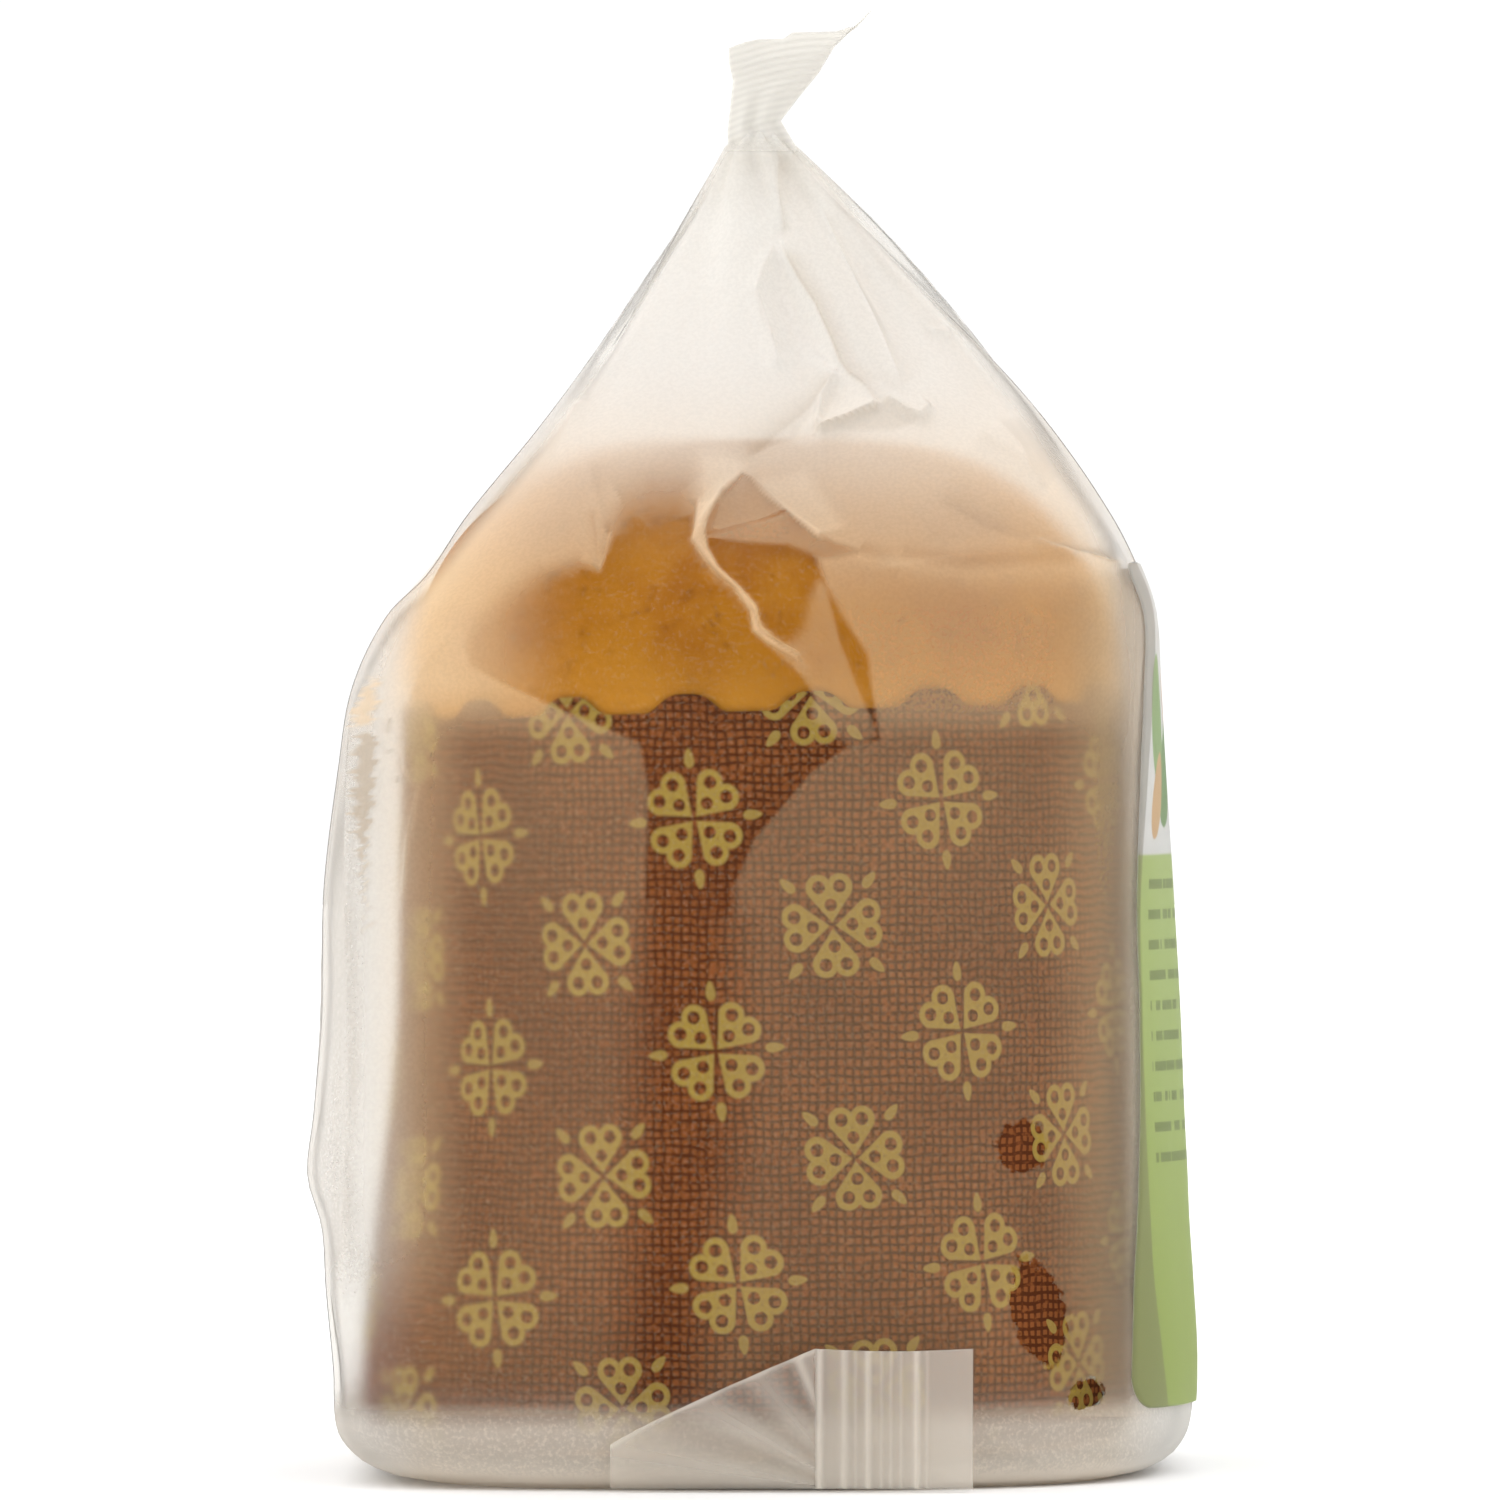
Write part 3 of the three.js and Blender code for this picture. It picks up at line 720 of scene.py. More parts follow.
# The slack film's pleats: clear, with their share of milkiness, and nothing where the film sticks.
innerFilm, tree = newMaterial("frosted film, inner pleats")
place, _ = objectPlace(tree)
grain, normal = filmNormal(tree, place, 0.35)
milky = (attribute(tree, "milky") * grain.ramp(0.3, 0.7, 0.965, 1.035)).least(0.97)
clear = shaderOf(tree, "Transparent", {"Color": (0.985, 0.98, 0.972, 1)})
outputTo(tree, mixShaders(tree, milky * stuckShare(tree, place).rest(), clear, milkyCloud(tree, normal)))

# Folded film, as in the tail and the seal: clear, with its share of milkiness and a faint gloss.
foldedFilm, tree = newMaterial("frosted film, folded")
place, _ = objectPlace(tree)
normal = bump(tree, noise(tree, place, 260.0, 2.0, 0.5, 0.4), 0.0004, 0.2)
clear = shaderOf(tree, "Transparent", {"Color": (0.985, 0.98, 0.972, 1)})
body = mixShaders(tree, attribute(tree, "milky"), clear, milkyCloud(tree, normal))
shine = shaderOf(tree, "Glossy", {"Color": (1, 1, 1, 1), "Roughness": 0.35, "Normal": normal})
outputTo(tree, mixShaders(tree, mirrored(tree, 0.25) * 0.4, body, shine))

# Columns start at the near left edge and go round the front; each stretch spreads its own evenly along
# the section at mid height, closest at the front, and rows lie closest over the cake.
fine = np.linspace(-np.pi, np.pi, 4001)
section = skinPoint(fine, np.full(fine.shape, 45.0))
girth = np.concatenate([[0], np.cumsum(np.linalg.norm(np.diff(section[:, :2], axis=0), axis=1))])


def anglesBetween(first, last, count):
    # angles at equal steps of girth
    ends = np.interp([first, last], fine, girth)
    return np.interp(np.linspace(*ends, count), girth, fine)


stretches = [(-2.6, -0.5, 191), (-0.5, np.pi, 75), (-np.pi, -2.6, 37)]
angles = np.concatenate([anglesBetween(*stretch)[:-1] for stretch in stretches])
heights = np.concatenate([np.linspace(0, 6, 10), np.linspace(7.2, 72, 46), np.linspace(72.7, 132, 89)])
floorRings = np.array([0, 0.3, 0.6, 0.85, 0.96])
haze = {"base": 0.01, "overCake": 0.16, "cakeFrom": 88.0, "cakeTo": 102.0, "neck": 0.72, "neckFrom": 124.0,
        "neckTo": 132.0, "foot": 0.7, "side": 0.3, "corner": 0.6}


def hazeAt(points):
    # how milky the film is: little over the case, more where slack layers lie behind it over the cake, at
    # the neck and along the folded bottom, and on the two gusset sides
    x, y, z = points[..., 0], points[..., 1], points[..., 2]
    overCake = smooth((z - haze["cakeFrom"]) / (haze["cakeTo"] - haze["cakeFrom"]))
    atNeck = smooth((z - haze["neckFrom"]) / (haze["neckTo"] - haze["neckFrom"]))
    share = haze["base"] + haze["overCake"] * overCake + haze["neck"] * atNeck
    side = smooth((-x - 33 + 0.05 * np.maximum(z - 70, 0)) / 6) * smooth((110 - z) / 20)
    share = share + haze["side"] * side * (0.15 + 0.85 * smooth((z - 12) / 12))
    share = share + haze["corner"] * smooth((x - 34.5) / 3.5) * smooth(-y / 8) * smooth((96 - z) / 10)
    return np.maximum(share, (haze["foot"] + 0.33 * smooth((3.5 - z) / 3)) * smooth((9.2 - z) / 3.4))


def paintedWarmLightAt(points):
    # painted warm light: 1 where the cake or its case lies behind the film as the camera sees it,
    # and a little under the foot
    seenX, seenZ = seenPlace(points)
    above = 0.3 + 0.7 * smooth((seenZ - 4) / 6)
    return smooth((41 - np.abs(seenX)) / 8) * smooth((112 - seenZ) / 26) * above


# One closed tube of film: rings that grow from the middle of the bottom, the upright film, and rings
# that close inside the neck.
angle, height = np.meshgrid(angles, heights)
wall, crest = filmPoint(angle, height)
inward = np.array([0.82, 0.6, 0.35, 0.0])[:, None, None]
upward = np.array([0.5, 1.3, 2.0, 2.3])[:, None, None]
neckRings = np.concatenate([wall[-1:, :, :1] * inward - 0.6 * (1 - inward), wall[-1:, :, 1:2] * inward,
                            wall[-1:, :, 2:] + upward], axis=-1)
outward = floorRings[:, None, None]
floorHeight = np.broadcast_to(0.05 + 0.5 * (1 - outward), (len(floorRings), len(angles), 1))
floor = np.concatenate([wall[:1, :, :2] * outward, floorHeight], axis=-1)
wall = np.concatenate([wall, neckRings])
crest = np.concatenate([crest, np.zeros(neckRings.shape[:2])])
filmPoints = np.concatenate([floor, wall])
milky = np.concatenate([np.full(floor.shape[:2], haze["base"]), np.maximum(hazeAt(wall), crest)])
# painted shade on the left gusset side, up to 92 mm
shade = 0.3 * smooth((-35 - filmPoints[..., 0]) / 5) * smooth((92 - filmPoints[..., 2]) / 20)
filmBag = finishMesh("film_bag", filmPoints, gridFaces(*filmPoints.shape[:2], True), outerFilm, {
    "milky": milky, "paintedWarmLight": paintedWarmLightAt(filmPoints), "pitted": pittedAt(filmPoints),
    "spot": spotAt(filmPoints), "shade": shade}, film["thick"], weld=True, lining=liningFilm)
belongs(filmBag)
print("film made")

# The slack film on the near side: how far in front of the near film its sheets stand, its share of white
# over the case, and how much that grows from one height to another.
slack = {"standOff": 0.3, "white": 0.115,
         "growth": [(45, 67, 0.04), (72, 76, 0.16), (85, 94, 0.2), (93, 102, 0.13)]}
# Where it lies double: how fully, and outlines of x and z in the upright plane; the third number of a
# corner is how softly the edge that starts there fades, in millimetres.
slackLayers = [
    # the left pleat and the slack film that hangs from the neck
    (1.0, [(-40, 5, 1), (-14.5, 5, 4), (-13.5, 27, 3.5), (-12.5, 47, 2), (-12, 57, 0.3),
        (-11.6, 67.7, 0.25), (-12.5, 72.2, 0.25), (-14.6, 73.2, 0.25), (-18, 74.6, 0.25),
        (-20, 75.4, 0.25), (-23, 77, 0.25), (-26.7, 78.6, 0.25), (-29.5, 80.2, 0.4), (-30, 81.9, 1),
        (-29.6, 83.4, 1.6), (-28.6, 84.8, 2), (-26, 87, 2), (-22, 89.2, 1.6), (-18.5, 90.2, 0.8),
        (-16.5, 89.9, 0.25), (-15.9, 91.5, 0.6), (-15.2, 93.5, 2), (-14, 96, 4.5), (-11.5, 97.5, 5),
        (-8.5, 97.5, 3.5), (-7, 95.5, 1), (-6.8, 94, 0.3), (-4.7, 96.4, 0.3), (-2.3, 99.5, 0.25),
        (2.1, 95.4, 0.25), (5.3, 93, 0.5), (9.5, 91.6, 1.6), (13.5, 90.4, 2.5), (20, 89.6, 3),
        (29.5, 90.4, 3), (40, 90, 2), (40, 140, 1), (-40, 140, 1)]),
    # the right pleat
    (1.0, [(-6.5, 5, 4), (-2.5, 36.7, 3.5), (-3, 55, 0.8), (-3, 58.2, 0.3), (-1, 62.9, 0.25),
        (1.3, 65.5, 0.25), (4.6, 69.5, 0.25), (7.9, 71.8, 0.25), (10.9, 72.6, 0.25), (11.5, 72.8, 0.25),
        (10.7, 77.7, 0.4), (10.3, 81.2, 0.4), (8, 84.7, 0.5), (6.1, 88, 0.6), (5.2, 91, 0.8),
        (9.5, 91.4, 1), (20, 90, 1), (40, 91, 1), (40, 5, 1)]),
    # the strip between the snaking ridge and the right pleat
    (0.8, [(5.4, 88.7, 0.25), (6.1, 87.7, 0.25), (7.4, 82.6, 0.25), (8.9, 78.5, 0.25), (11.2, 73.2, 0.3),
        (8.9, 71.7, 0.5), (4.6, 75, 0.4), (5, 76.8, 0.3), (4, 78.8, 0.3), (-0.1, 82.6, 0.4),
        (2.4, 82.2, 1), (4, 84, 1), (4.6, 87, 0.8)]),
]
# Pinched folds, where two or three layers lie close and look white: share of white, outline as above.
whiteFolds = [
    (0.3, [(-0.6, 98.4, 0.3), (5.2, 93.2, 0.3), (8, 94, 1), (4, 99.5, 1)]),
    (0.35, [(-4.6, 96.3, 0.5), (-2.3, 99.3, 0.3), (2.0, 95.5, 0.3), (-1.6, 94.2, 0.4),
        (-5.6, 93.2, 0.4)]),
    (0.6, [(1.8, 122.6, 0.15), (3.8, 118.7, 0.15), (5.4, 116.1, 0.15), (6.9, 112.6, 0.15),
        (7.7, 110.2, 0.2), (7.3, 109.2, 0.4), (5.4, 111.5, 0.5), (3.6, 113.9, 0.6), (2.1, 116.7, 0.7),
        (1.6, 119, 0.6)]),
    (0.6, [(7.3, 109.1, 0.3), (8.5, 108.9, 0.15), (11.7, 106.6, 0.15), (11, 105.7, 0.12),
        (7.8, 104.4, 0.12), (4.85, 103.55, 0.15), (5.2, 106.2, 0.3)]),
    (0.62, [(-6.7, 96.8, 0.2), (-7.3, 92.3, 0.15), (-6.4, 90.9, 0.2), (-5.2, 89.5, 0.25),
        (-3.15, 87.7, 0.25), (-1.5, 85.4, 0.25), (-1.25, 83.6, 0.3), (-0.1, 82.6, 0.4), (3.2, 81.1, 0.5),
        (1.4, 82.1, 0.3), (-0.5, 84.2, 0.25), (-0.85, 86, 0.2), (-2.6, 87.8, 0.15), (-4.7, 89.8, 0.15),
        (-5.7, 91.8, 0.15), (-5.95, 93.1, 0.2), (-5.8, 94.1, 0.3), (-4.7, 96.4, 0.6)]),
    (0.4, [(-6.7, 96.8, 0.6), (-4.7, 96.4, 0.4), (-2.3, 99.5, 0.6), (-1.6, 101.5, 1.5),
        (-6.2, 101.5, 1.5)]),
    (0.3, [(-5.9, 92.8, 0.15), (-2.6, 92.5, 0.3), (2.4, 92.3, 0.5), (5, 91.2, 0.8), (9, 91.5, 1),
        (6, 93, 0.6), (2.2, 95, 0.2), (-1.6, 94, 0.15), (-4.2, 93.3, 0.15)]),
    (0.45, [(-2.35, 99.6, 0.15), (-0.2, 97.1, 0.12), (2.05, 95.25, 0.12), (5.2, 92.8, 0.2),
        (5.6, 93.2, 0.3), (2.4, 95.8, 0.3), (-0.1, 97.7, 0.25)]),
]
# Painted shade in the hollows beside folds: how dark, how far it reaches to the left and to the
# right of the line's direction, and the line.
paintedFoldShade = [
    (0.6, 1.5, 0.15, [(1.8, 122.6), (3.8, 118.7), (5.4, 116.1), (6.9, 112.6), (7.7, 110.2), (8.6, 108.9),
        (11.7, 106.6)]),
    (0.85, 0.1, 0.7, [(4.8, 103.5), (7.8, 104.3), (11, 105.6), (11.7, 106.5)]),
    (0.3, 0.2, 0.6, [(12, 106.8), (13.2, 105.6), (15.6, 104.6), (17, 105.4)]),
    (0.55, 0.2, 1.3, [(7.3, 109.1), (5.3, 106.9), (3.6, 105.4), (0.8, 103.4), (-1.9, 101)]),
    (0.16, 1.4, 0.15, [(1, 122.4), (-0.5, 119.8), (-1.1, 117.2), (-0.5, 115), (0.6, 112.4), (1.6, 110)]),
    (0.3, 2.6, 0.1, [(5.4, 126.9), (6.6, 123.9), (9, 118.4), (11, 114.1), (12.8, 110.2), (14.3, 106.9)]),
    (0.35, 1.8, 0.15, [(1.4, 132.5), (1.5, 126), (1.6, 122.7)]),
    (0.2, 0.8, 2.2, [(5.5, 129), (11, 121.5), (18, 113.5), (25, 105)]),
    (0.4, 2.4, 0.3, [(16.4, 97.4), (22, 94.2), (28.7, 91.9), (36.4, 90.2)]),
    (0.25, 0.4, 2.2, [(21, 103.8), (25, 101), (28.7, 97)]),
    (0.3, 1.5, 0.2, [(-17.6, 101), (-15.9, 94), (-16.5, 89.9)]),
    (0.35, 0.2, 0.8, [(-1.8, 99.4), (0.1, 97.1), (2.3, 95.2), (5.2, 92.7)]),
    (0.5, 0.15, 0.5, [(-37.8, 4.9), (-29.9, 5.6), (-16.4, 6)]),
    (0.5, 0.2, 0.6, [(20.5, 3.1), (22.7, 4.3), (35.5, 4.9), (39, 6.2)]),
    (0.4, 0.2, 0.6, [(20.4, 3), (27, 0.9), (34.7, 2.1), (40, 0.9)]),
    # the last four are a painted dark reflection of the case in the gusset's folds: a line and three specks
    (0.9, 0.35, 0.35, [(-42, 59.6), (-41.4, 50), (-41, 38.7), (-41.6, 30), (-42, 20)]),
    (1.0, 0.25, 0.25, [(-37.5, 75), (-37.8, 73.2)]),
    (1.0, 0.25, 0.25, [(-37.6, 71.9), (-37.8, 71.2)]),
    (1.0, 0.2, 0.2, [(-36.9, 69.2), (-37.1, 68.4)]),
]
# Painted shade in patches under the star and beside the long folds: how dark, outline as above.
paintedShadePatches = [
    (0.42, [(4.8, 103.4, 0.2), (11, 105.4, 0.4), (12, 107, 0.5), (14.2, 105.6, 0.5), (15.6, 104.6, 0.3),
        (12.8, 103.7, 0.5), (9.1, 103.6, 0.4)]),
    (0.16, [(1.6, 128, 0.3), (2.2, 122.5, 0.3), (8, 110.5, 0.5), (14, 107, 1.5), (11, 114, 1),
        (6.6, 124, 1), (4, 129, 1)]),
]
# Painted reflections of the dark case and of the cake in the gusset's folds: outlines as above.
paintedCaseReflection = [(-40.9, 73.4, 0.3), (-39.4, 73.6, 0.3), (-38.9, 72.6, 0.2), (-39.2, 67.6, 0.3),
          (-39.9, 62, 0.3), (-40.1, 52.5, 0.4), (-40.5, 60, 0.4), (-41.3, 66, 0.4)]
paintedCakeReflection = [(-41.6, 73.8, 0.6), (-41, 76.6, 0.7), (-39.7, 79, 0.8), (-38.6, 79, 0.7), (-38.7, 76, 0.6),
              (-39.6, 74.2, 0.5)]
# The slack film's half width and its middle, each with the height it holds for.
slackHalf = [(5, 41), (66, 41), (74, 40.4), (80, 39.2), (88, 36.9), (96, 31.2), (104, 24.9), (113, 17.9),
             (125, 8.6), (133, 2.9)]
slackMiddle = [(5, -2.4), (66, -2.2), (80, -0.6), (88, 0.8), (96, 2.3), (104, 3), (113, 2.7), (125, 1.1),
               (133, -0.4)]


def insideOutline(x, z, outline):
    # 1 inside a closed outline and 0 outside, by the parity of the edges crossed to the right, softened
    # over the distance to the nearest edge
    corners = np.array(outline, float)
    nearest, softness = np.full(x.shape, 1e9), np.ones(x.shape)
    inside = np.zeros(x.shape, bool)
    for (x0, z0, soft), (x1, z1, _) in zip(corners, np.roll(corners, -1, axis=0)):
        dx, dz = x1 - x0, z1 - z0
        t = np.clip(((x - x0) * dx + (z - z0) * dz) / max(dx * dx + dz * dz, 1e-9), 0, 1)
        away = np.hypot(x - x0 - t * dx, z - z0 - t * dz)
        softness = np.where(away < nearest, soft, softness)
        nearest = np.minimum(nearest, away)
        if z0 != z1:
            inside ^= ((z0 > z) != (z1 > z)) & (x < x0 + (z - z0) / (z1 - z0) * dx)
    return smooth(0.5 + np.where(inside, 1, -1) * nearest / softness / 2)


def ragged(x, z):
    # x shifted by three sines of the height, which tears an outline's edges
    return x + 0.3 * np.sin(z * 3.1) + 0.22 * np.sin(z * 7.3 + x) + 0.15 * np.sin(z * 13.7 + 2 * x)


def slackShade(x, z):
    # the darkest painted shade of the hollows, each falling off exponentially on both sides of its line, of
    # the patches and of the painted reflection of the dark case in the gusset
    shade = 0.95 * insideOutline(ragged(x, z), z, paintedCaseReflection)
    for darkness, outline in paintedShadePatches:
        shade = np.maximum(shade, darkness * insideOutline(x, z, outline))
    for darkness, left, right, line in paintedFoldShade:
        distance, along = nearestOnLine(x, z, line)
        reach = np.where(distance < 0, left, right)
        shade = np.maximum(shade, darkness * np.exp(-np.abs(distance) / reach) * fadedEnds(along, 0.15))
    return shade


def slackMilky(x, z):
    # the share of white that the slack layers add: slight over the case, more over the cake, most under
    # the neck and towards the left side, where the film stands far off; what each of layers, folds, crests
    # and sides lets through is multiplied
    growth = sum(gain * smooth((z - low) / (high - low)) for low, high, gain in slack["growth"])
    level = slack["white"] + growth
    clear = np.ones(x.shape)
    for share, outline in slackLayers:
        clear = clear * (1 - level * share * insideOutline(x, z, outline))
    for share, outline in whiteFolds:
        clear = clear * (1 - share * insideOutline(x, z, outline))
    for _, _, _, white, line in creases:
        distance, along = nearestOnLine(x, z, line)
        clear = clear * (1 - white * np.exp(-(distance / 0.28) ** 2) * fadedEnds(along, 0.2))
    overCake = smooth((z - 74) / 5) * smooth((104 - z) / 10)
    foot = smooth((z - 12) / 14)
    left = 0.3 * smooth((-x - 29) / 8) * (1 - overCake) * foot + 0.68 * smooth((-x - 18) / 17) * overCake
    right = 0.26 * smooth((x - 28) / 9) + 0.2 * smooth((x - 34.5) / 3)
    right = right + 0.16 * smooth((x - 30) / 6) * overCake
    return np.maximum(1 - clear * (1 - left) * (1 - right), 0)


def slackSheet(name, low, high, columns, rows):
    # a sheet just in front of the near film, raised by the same creases, whose share of white fades out at
    # its borders; the painted reflections of the dark case and of the cake in the gusset are added after that
    seenZ, part = np.meshgrid(np.linspace(low, high, rows), np.linspace(0, 1, columns), indexing="ij")
    seenX = np.interp(seenZ, *zip(*slackMiddle)) + np.interp(seenZ, *zip(*slackHalf)) * (2 * part - 1)
    points = nearSkin(seenX, seenZ, -slack["standOff"])
    normal = gridNormals(points)
    relief, _ = nearRelief(seenX, seenZ)
    relief = relief * smooth((-normal[..., 1] - 0.1) / 0.3) * smooth((132 - seenZ) / 12)
    points = points + normal * relief[..., None]
    fade = smooth(part / 0.05) * smooth((1 - part) / 0.06) * smooth((133 - seenZ) / 3)
    torn = ragged(seenX, seenZ)
    # painted reflections in the gusset: the dark case as painted shade, the cake as painted warm light, on
    # milky film
    cakeReflection = insideOutline(torn, seenZ, paintedCakeReflection)
    reflectionMilkiness = np.maximum(0.7 * insideOutline(torn, seenZ, paintedCaseReflection), 0.5 * cakeReflection)
    sheet = finishMesh(name, points, gridFaces(rows, columns), innerFilm, {
        "milky": np.maximum(slackMilky(seenX, seenZ) * fade, reflectionMilkiness),
        "paintedWarmLight": np.maximum(paintedWarmLightAt(points), cakeReflection), "pitted": pittedAt(points),
        "shade": slackShade(seenX, seenZ), "spot": spotAt(points)})
    belongs(sheet)


slackSheet("slack_lower", 5.0, 56.0, 110, 90)
slackSheet("slack_upper", 56.0, 133.0, 290, 300)
print("slack layers made")

# The crimped tail over the neck: its side edges as x and z, its top edge as shares of width and rise,
# and its depth at equal steps from the neck up.
tail = {"left": [(-3.7, 129.5), (-3.75, 133.5), (-3.3, 137.8), (-3.2, 138.6), (-3.6, 140.4), (-3.6, 141.9)],
        "right": [(4.6, 129.5), (1.6, 134.6), (3.2, 136.7), (5.4, 139.4), (6.9, 141.9), (10.75, 145.7)],
        "top": [(0, 0), (0.11, 0.16), (0.2, 0.23), (0.38, 0.25), (0.44, 0.41), (0.75, 0.43), (0.83, 0.53),
                (0.89, 0.56), (1, 1)],
        "depth": [3.4, 2.0, 1.7, 1.5, 1.3, 0.5], "ribGap": 0.72, "ribDepth": 0.06}


def ribSweep(x, z):
    # the phase of the crimp ribs, which sweep up to the right in a flat curve
    fromLeft = x + 3.6
    return 2 * np.pi * (z - 0.42 * fromLeft + 0.022 * fromLeft ** 2) / tail["ribGap"]


def tailPoint(angle, along):
    # a flattened ring laid along a line from the left edge to the right edge, bent as the top edge is;
    # crimp ribs sweep up to the right across it, and pleats open out towards the bag
    steps = np.linspace(0, 1, len(tail["depth"]))
    left, right = np.array(tail["left"]), np.array(tail["right"])
    leftX, leftZ = np.interp(along, steps, left[:, 0]), np.interp(along, steps, left[:, 1])
    rightX, rightZ = np.interp(along, steps, right[:, 0]), np.interp(along, steps, right[:, 1])
    depth = np.interp(along, steps, tail["depth"])
    across = (1 + np.cos(angle)) / 2
    top = np.array(tail["top"])
    rise = across * (1 - along) + np.interp(across, top[:, 0], top[:, 1]) * along
    x, z = leftX + (rightX - leftX) * across, leftZ + (rightZ - leftZ) * rise
    rib = tail["ribDepth"] * np.sin(ribSweep(x, z)) * smooth((along - 0.25) * 4) * smooth(across * 6)
    pleat = 0.35 * np.sin(across * 17 + 1.5 * along) * smooth(1 - along * 1.6)
    bend = 0.6 * np.sin(np.pi * across * 1.2 + 0.4) * along
    side = np.sign(np.sin(angle)) * np.abs(np.sin(angle)) ** 0.7
    return np.stack([x, depth * side * 0.8 + (rib + pleat) * -side + bend, z], axis=-1)


rows, columns = 150, 200
angle, along = np.meshgrid(np.linspace(-np.pi, np.pi, columns, endpoint=False), np.linspace(0, 1, rows))
tailPoints = tailPoint(angle, along)
tailMilky = 0.8 + 0.05 * np.sin(ribSweep(tailPoints[..., 0], tailPoints[..., 2]))
filmTail = finishMesh("film_tail", tailPoints, gridFaces(rows, columns, True), foldedFilm,
                      {"milky": tailMilky}, film["thick"])
belongs(filmTail)
print("tail made")

# The turned-up end of the bottom seal, and the web of film on its left.
flap = {"left": 4.8, "right": 20.0, "bottom": 0.4, "top": 14.0, "sag": 0.25, "webLeft": -15.0, "webTop": 4.6,
        "out": 38.3, "lean": 0.12}
# Upright ribs pressed into the flap: middle, half width and height.
flapRibs = [(7.6, 0.35, 0.3), (9.9, 0.3, 0.35), (14.6, 0.3, 0.35), (8.7, 0.18, 0.12), (11.2, 0.18, 0.12),
            (12.1, 0.18, 0.12), (13.1, 0.18, 0.12), (15.6, 0.18, 0.1), (5.2, 0.3, 0.4)]
rows, columns = 60, 120
x = np.linspace(flap["left"], flap["right"], columns)
share = np.linspace(0, 1, rows)
topEdge = flap["top"] - flap["sag"] * np.sin((x - flap["left"]) / 15 * np.pi)
z = flap["bottom"] + (topEdge - flap["bottom"])[None, :] * share[:, None]
x = np.broadcast_to(x, z.shape)
ribs = sum(high * np.exp(-((x - middle) / wide) ** 2) for middle, wide, high in flapRibs)
y = -flap["out"] - flap["lean"] * z - ribs - 0.4 * smooth((x - 12) / 8)
# a faint painted warm light tints its milkiness
flapPiece = finishMesh("seal_flap", np.stack([x, y, z], axis=-1), gridFaces(rows, columns), foldedFilm,
                       {"milky": 0.3 + ribs * 0.7, "paintedWarmLight": np.full(x.shape, 0.15)}, film["thick"])
belongs(flapPiece)

# The web rises towards the flap and is drawn in fans from its lower corner.
rows, columns = 50, 80
share = np.linspace(0, 1, columns)
webX = flap["webLeft"] + (flap["left"] - flap["webLeft"]) * share
webTop = flap["webTop"] + (flap["top"] - flap["webTop"]) * share ** 0.9
z = flap["bottom"] + (webTop - flap["bottom"])[None, :] * np.linspace(0, 1, rows)[:, None]
x = np.broadcast_to(webX, z.shape)
fan = np.arctan2(z, flap["left"] + 4 - x)
y = -flap["out"] - flap["lean"] * z * share + 0.35 * np.sin(fan * 22) * share * (z / 14)
crease = np.exp(-((x - 4.8 + (z - 9) * 0.42) / 0.5) ** 2) + np.exp(-((webTop[None, :] - z) / 0.4) ** 2)
webMilky = 0.12 + 0.3 * np.minimum(crease, 1) + 0.16 * np.sin(fan * 9) ** 2
# a faint painted warm light tints its milkiness
webPiece = finishMesh("seal_web", np.stack([x, y, z], axis=-1), gridFaces(rows, columns), foldedFilm,
                      {"milky": webMilky, "paintedWarmLight": np.full(x.shape, 0.15)}, film["thick"])
belongs(webPiece)
print("seal made")

# The label on the right face: heights, and the depths of its near and far border.
sticker = {"bottom": 7.0, "top": 90.0, "near": -17.0, "bow": 6.0, "far": 31.0, "corner": 3.5, "off": 0.35,
           "thick": 0.12, "fieldFrom": 61.2, "line": 3.0}
# Leaves and nuts in the label's top field: place from the near border, height, half width and half
# height, lean in radians, and colour.
leavesAndNuts = [
    (3.5, 74.0, 3.4, 8.2, 0.5, linear(150, 180, 120)), (9.0, 69.5, 4.0, 6.5, -0.7, linear(126, 160, 104)),
    (4.2, 67.2, 2.4, 4.6, -0.35, linear(214, 178, 132)), (10.5, 76.5, 2.4, 4.6, 0.9, linear(204, 164, 118)),
    (19.0, 71.0, 7.0, 7.0, 0.0, linear(206, 150, 80)), (19.0, 68.5, 7.2, 3.6, 0.0, linear(120, 78, 44)),
    (31.0, 75.5, 4.6, 6.5, -0.6, linear(136, 168, 110)), (35.0, 69.0, 2.6, 4.4, 0.4, linear(210, 172, 126)),
]
labelMaterial, tree = newMaterial("label")
across, up = attribute(tree, "across"), attribute(tree, "up")
green = blendColours(tree, up.ramp(8, 60), linear(164, 184, 92), linear(178, 198, 122))
topField = up.ramp(sticker["fieldFrom"], sticker["fieldFrom"] + 0.4)
field = blendColours(tree, topField, green, linear(226, 226, 223))
for middle, level, wide, high, lean, paint in leavesAndNuts:
    toSide, toTop = (across - middle) * 1.3, up - level
    crosswise = (toSide * np.cos(lean) + toTop * np.sin(lean)) / wide
    lengthwise = (toTop * np.cos(lean) - toSide * np.sin(lean)) / high
    field = blendColours(tree, (crosswise ** 2 + lengthwise ** 2).ramp(0.9, 1.0, 1, 0), field, paint)
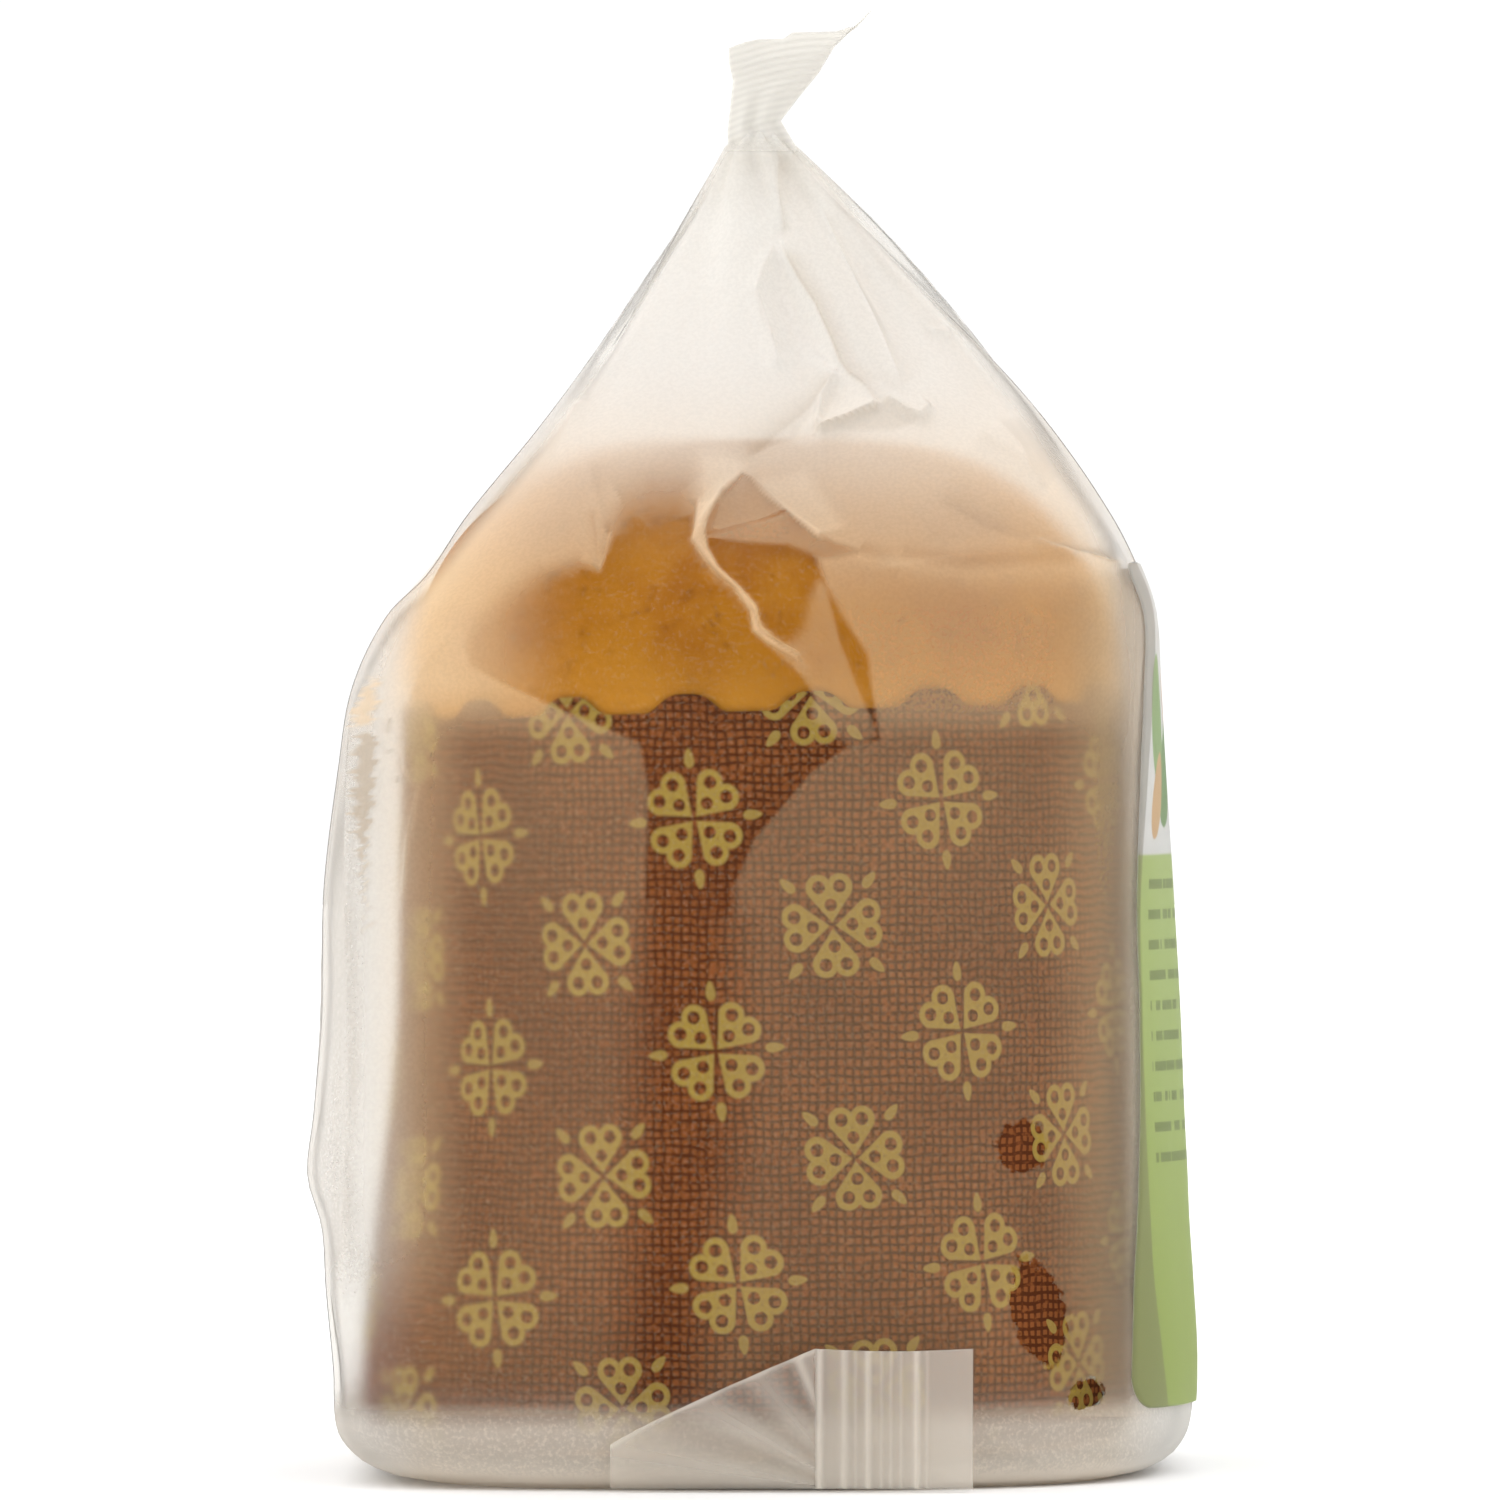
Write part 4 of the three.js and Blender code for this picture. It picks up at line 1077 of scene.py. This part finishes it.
# painted shadow along the label's near edge, in its first half millimetre
field = blendColours(tree, across.ramp(0.5, 0.2) * 0.5, field, linear(120, 112, 92))
line = up / sticker["line"]
bars = line.fraction().ramp(0.3, 0.36) * line.fraction().ramp(0.62, 0.68, 1, 0)
bars = bars * up.ramp(29, 29.3) * up.ramp(59.5, 59.2) * across.ramp(2, 2.2) * across.ramp(44, 43.8)
dashes = noise(tree, vectorOf(tree, across * 0.9, line.floor() * 7.3), 1.0, 1.0).ramp(0.4, 0.46)
field = blendColours(tree, bars * dashes * 0.6, field, linear(90, 105, 60))
front = shaderOf(tree, "Principled", {
    "Base Color": field, "Roughness": 0.45, "Specular IOR Level": 0.3,
    "Normal": bump(tree, noise(tree, vectorOf(tree, across, up), 3.0), 0.0001, 0.2)})
outputTo(tree, mixShaders(tree, 0.5, front, shaderOf(tree, "Translucent", {"Color": (0.95, 0.95, 0.93, 1)})))


def stickerPoint(share, height, off):
    # the right face between the label's near and far edge at this height, moved out along the normal
    edge = np.minimum(np.minimum(height - sticker["bottom"], sticker["top"] - height), sticker["corner"])
    corner = sticker["corner"]
    inset = corner - np.sqrt(np.maximum(corner ** 2 - (corner - edge) ** 2, 0))
    fromMiddle = (2 * height - sticker["bottom"] - sticker["top"]) / (sticker["top"] - sticker["bottom"])
    start = sticker["near"] - sticker["bow"] * fromMiddle ** 2 + inset
    y = start + (sticker["far"] - inset - start) * share
    points = skinPoint(angleAt(1, y, height, -np.pi / 2, np.pi / 2), height)
    return points + gridNormals(points) * off, y


rows, columns = 120, 60
rise = (1 - np.cos(np.linspace(0, np.pi, rows))) / 2  # closer rows at the bottom and at the top
share, height = np.meshgrid(np.linspace(0, 1, columns),
                            sticker["bottom"] + (sticker["top"] - sticker["bottom"]) * rise)
stickerPoints, depth = stickerPoint(share, height, sticker["off"])
labelPiece = finishMesh("side_label", stickerPoints, gridFaces(rows, columns), labelMaterial,
                        {"across": depth - sticker["near"], "up": height}, sticker["thick"])
belongs(labelPiece, "label")
print("label made")

low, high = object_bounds()
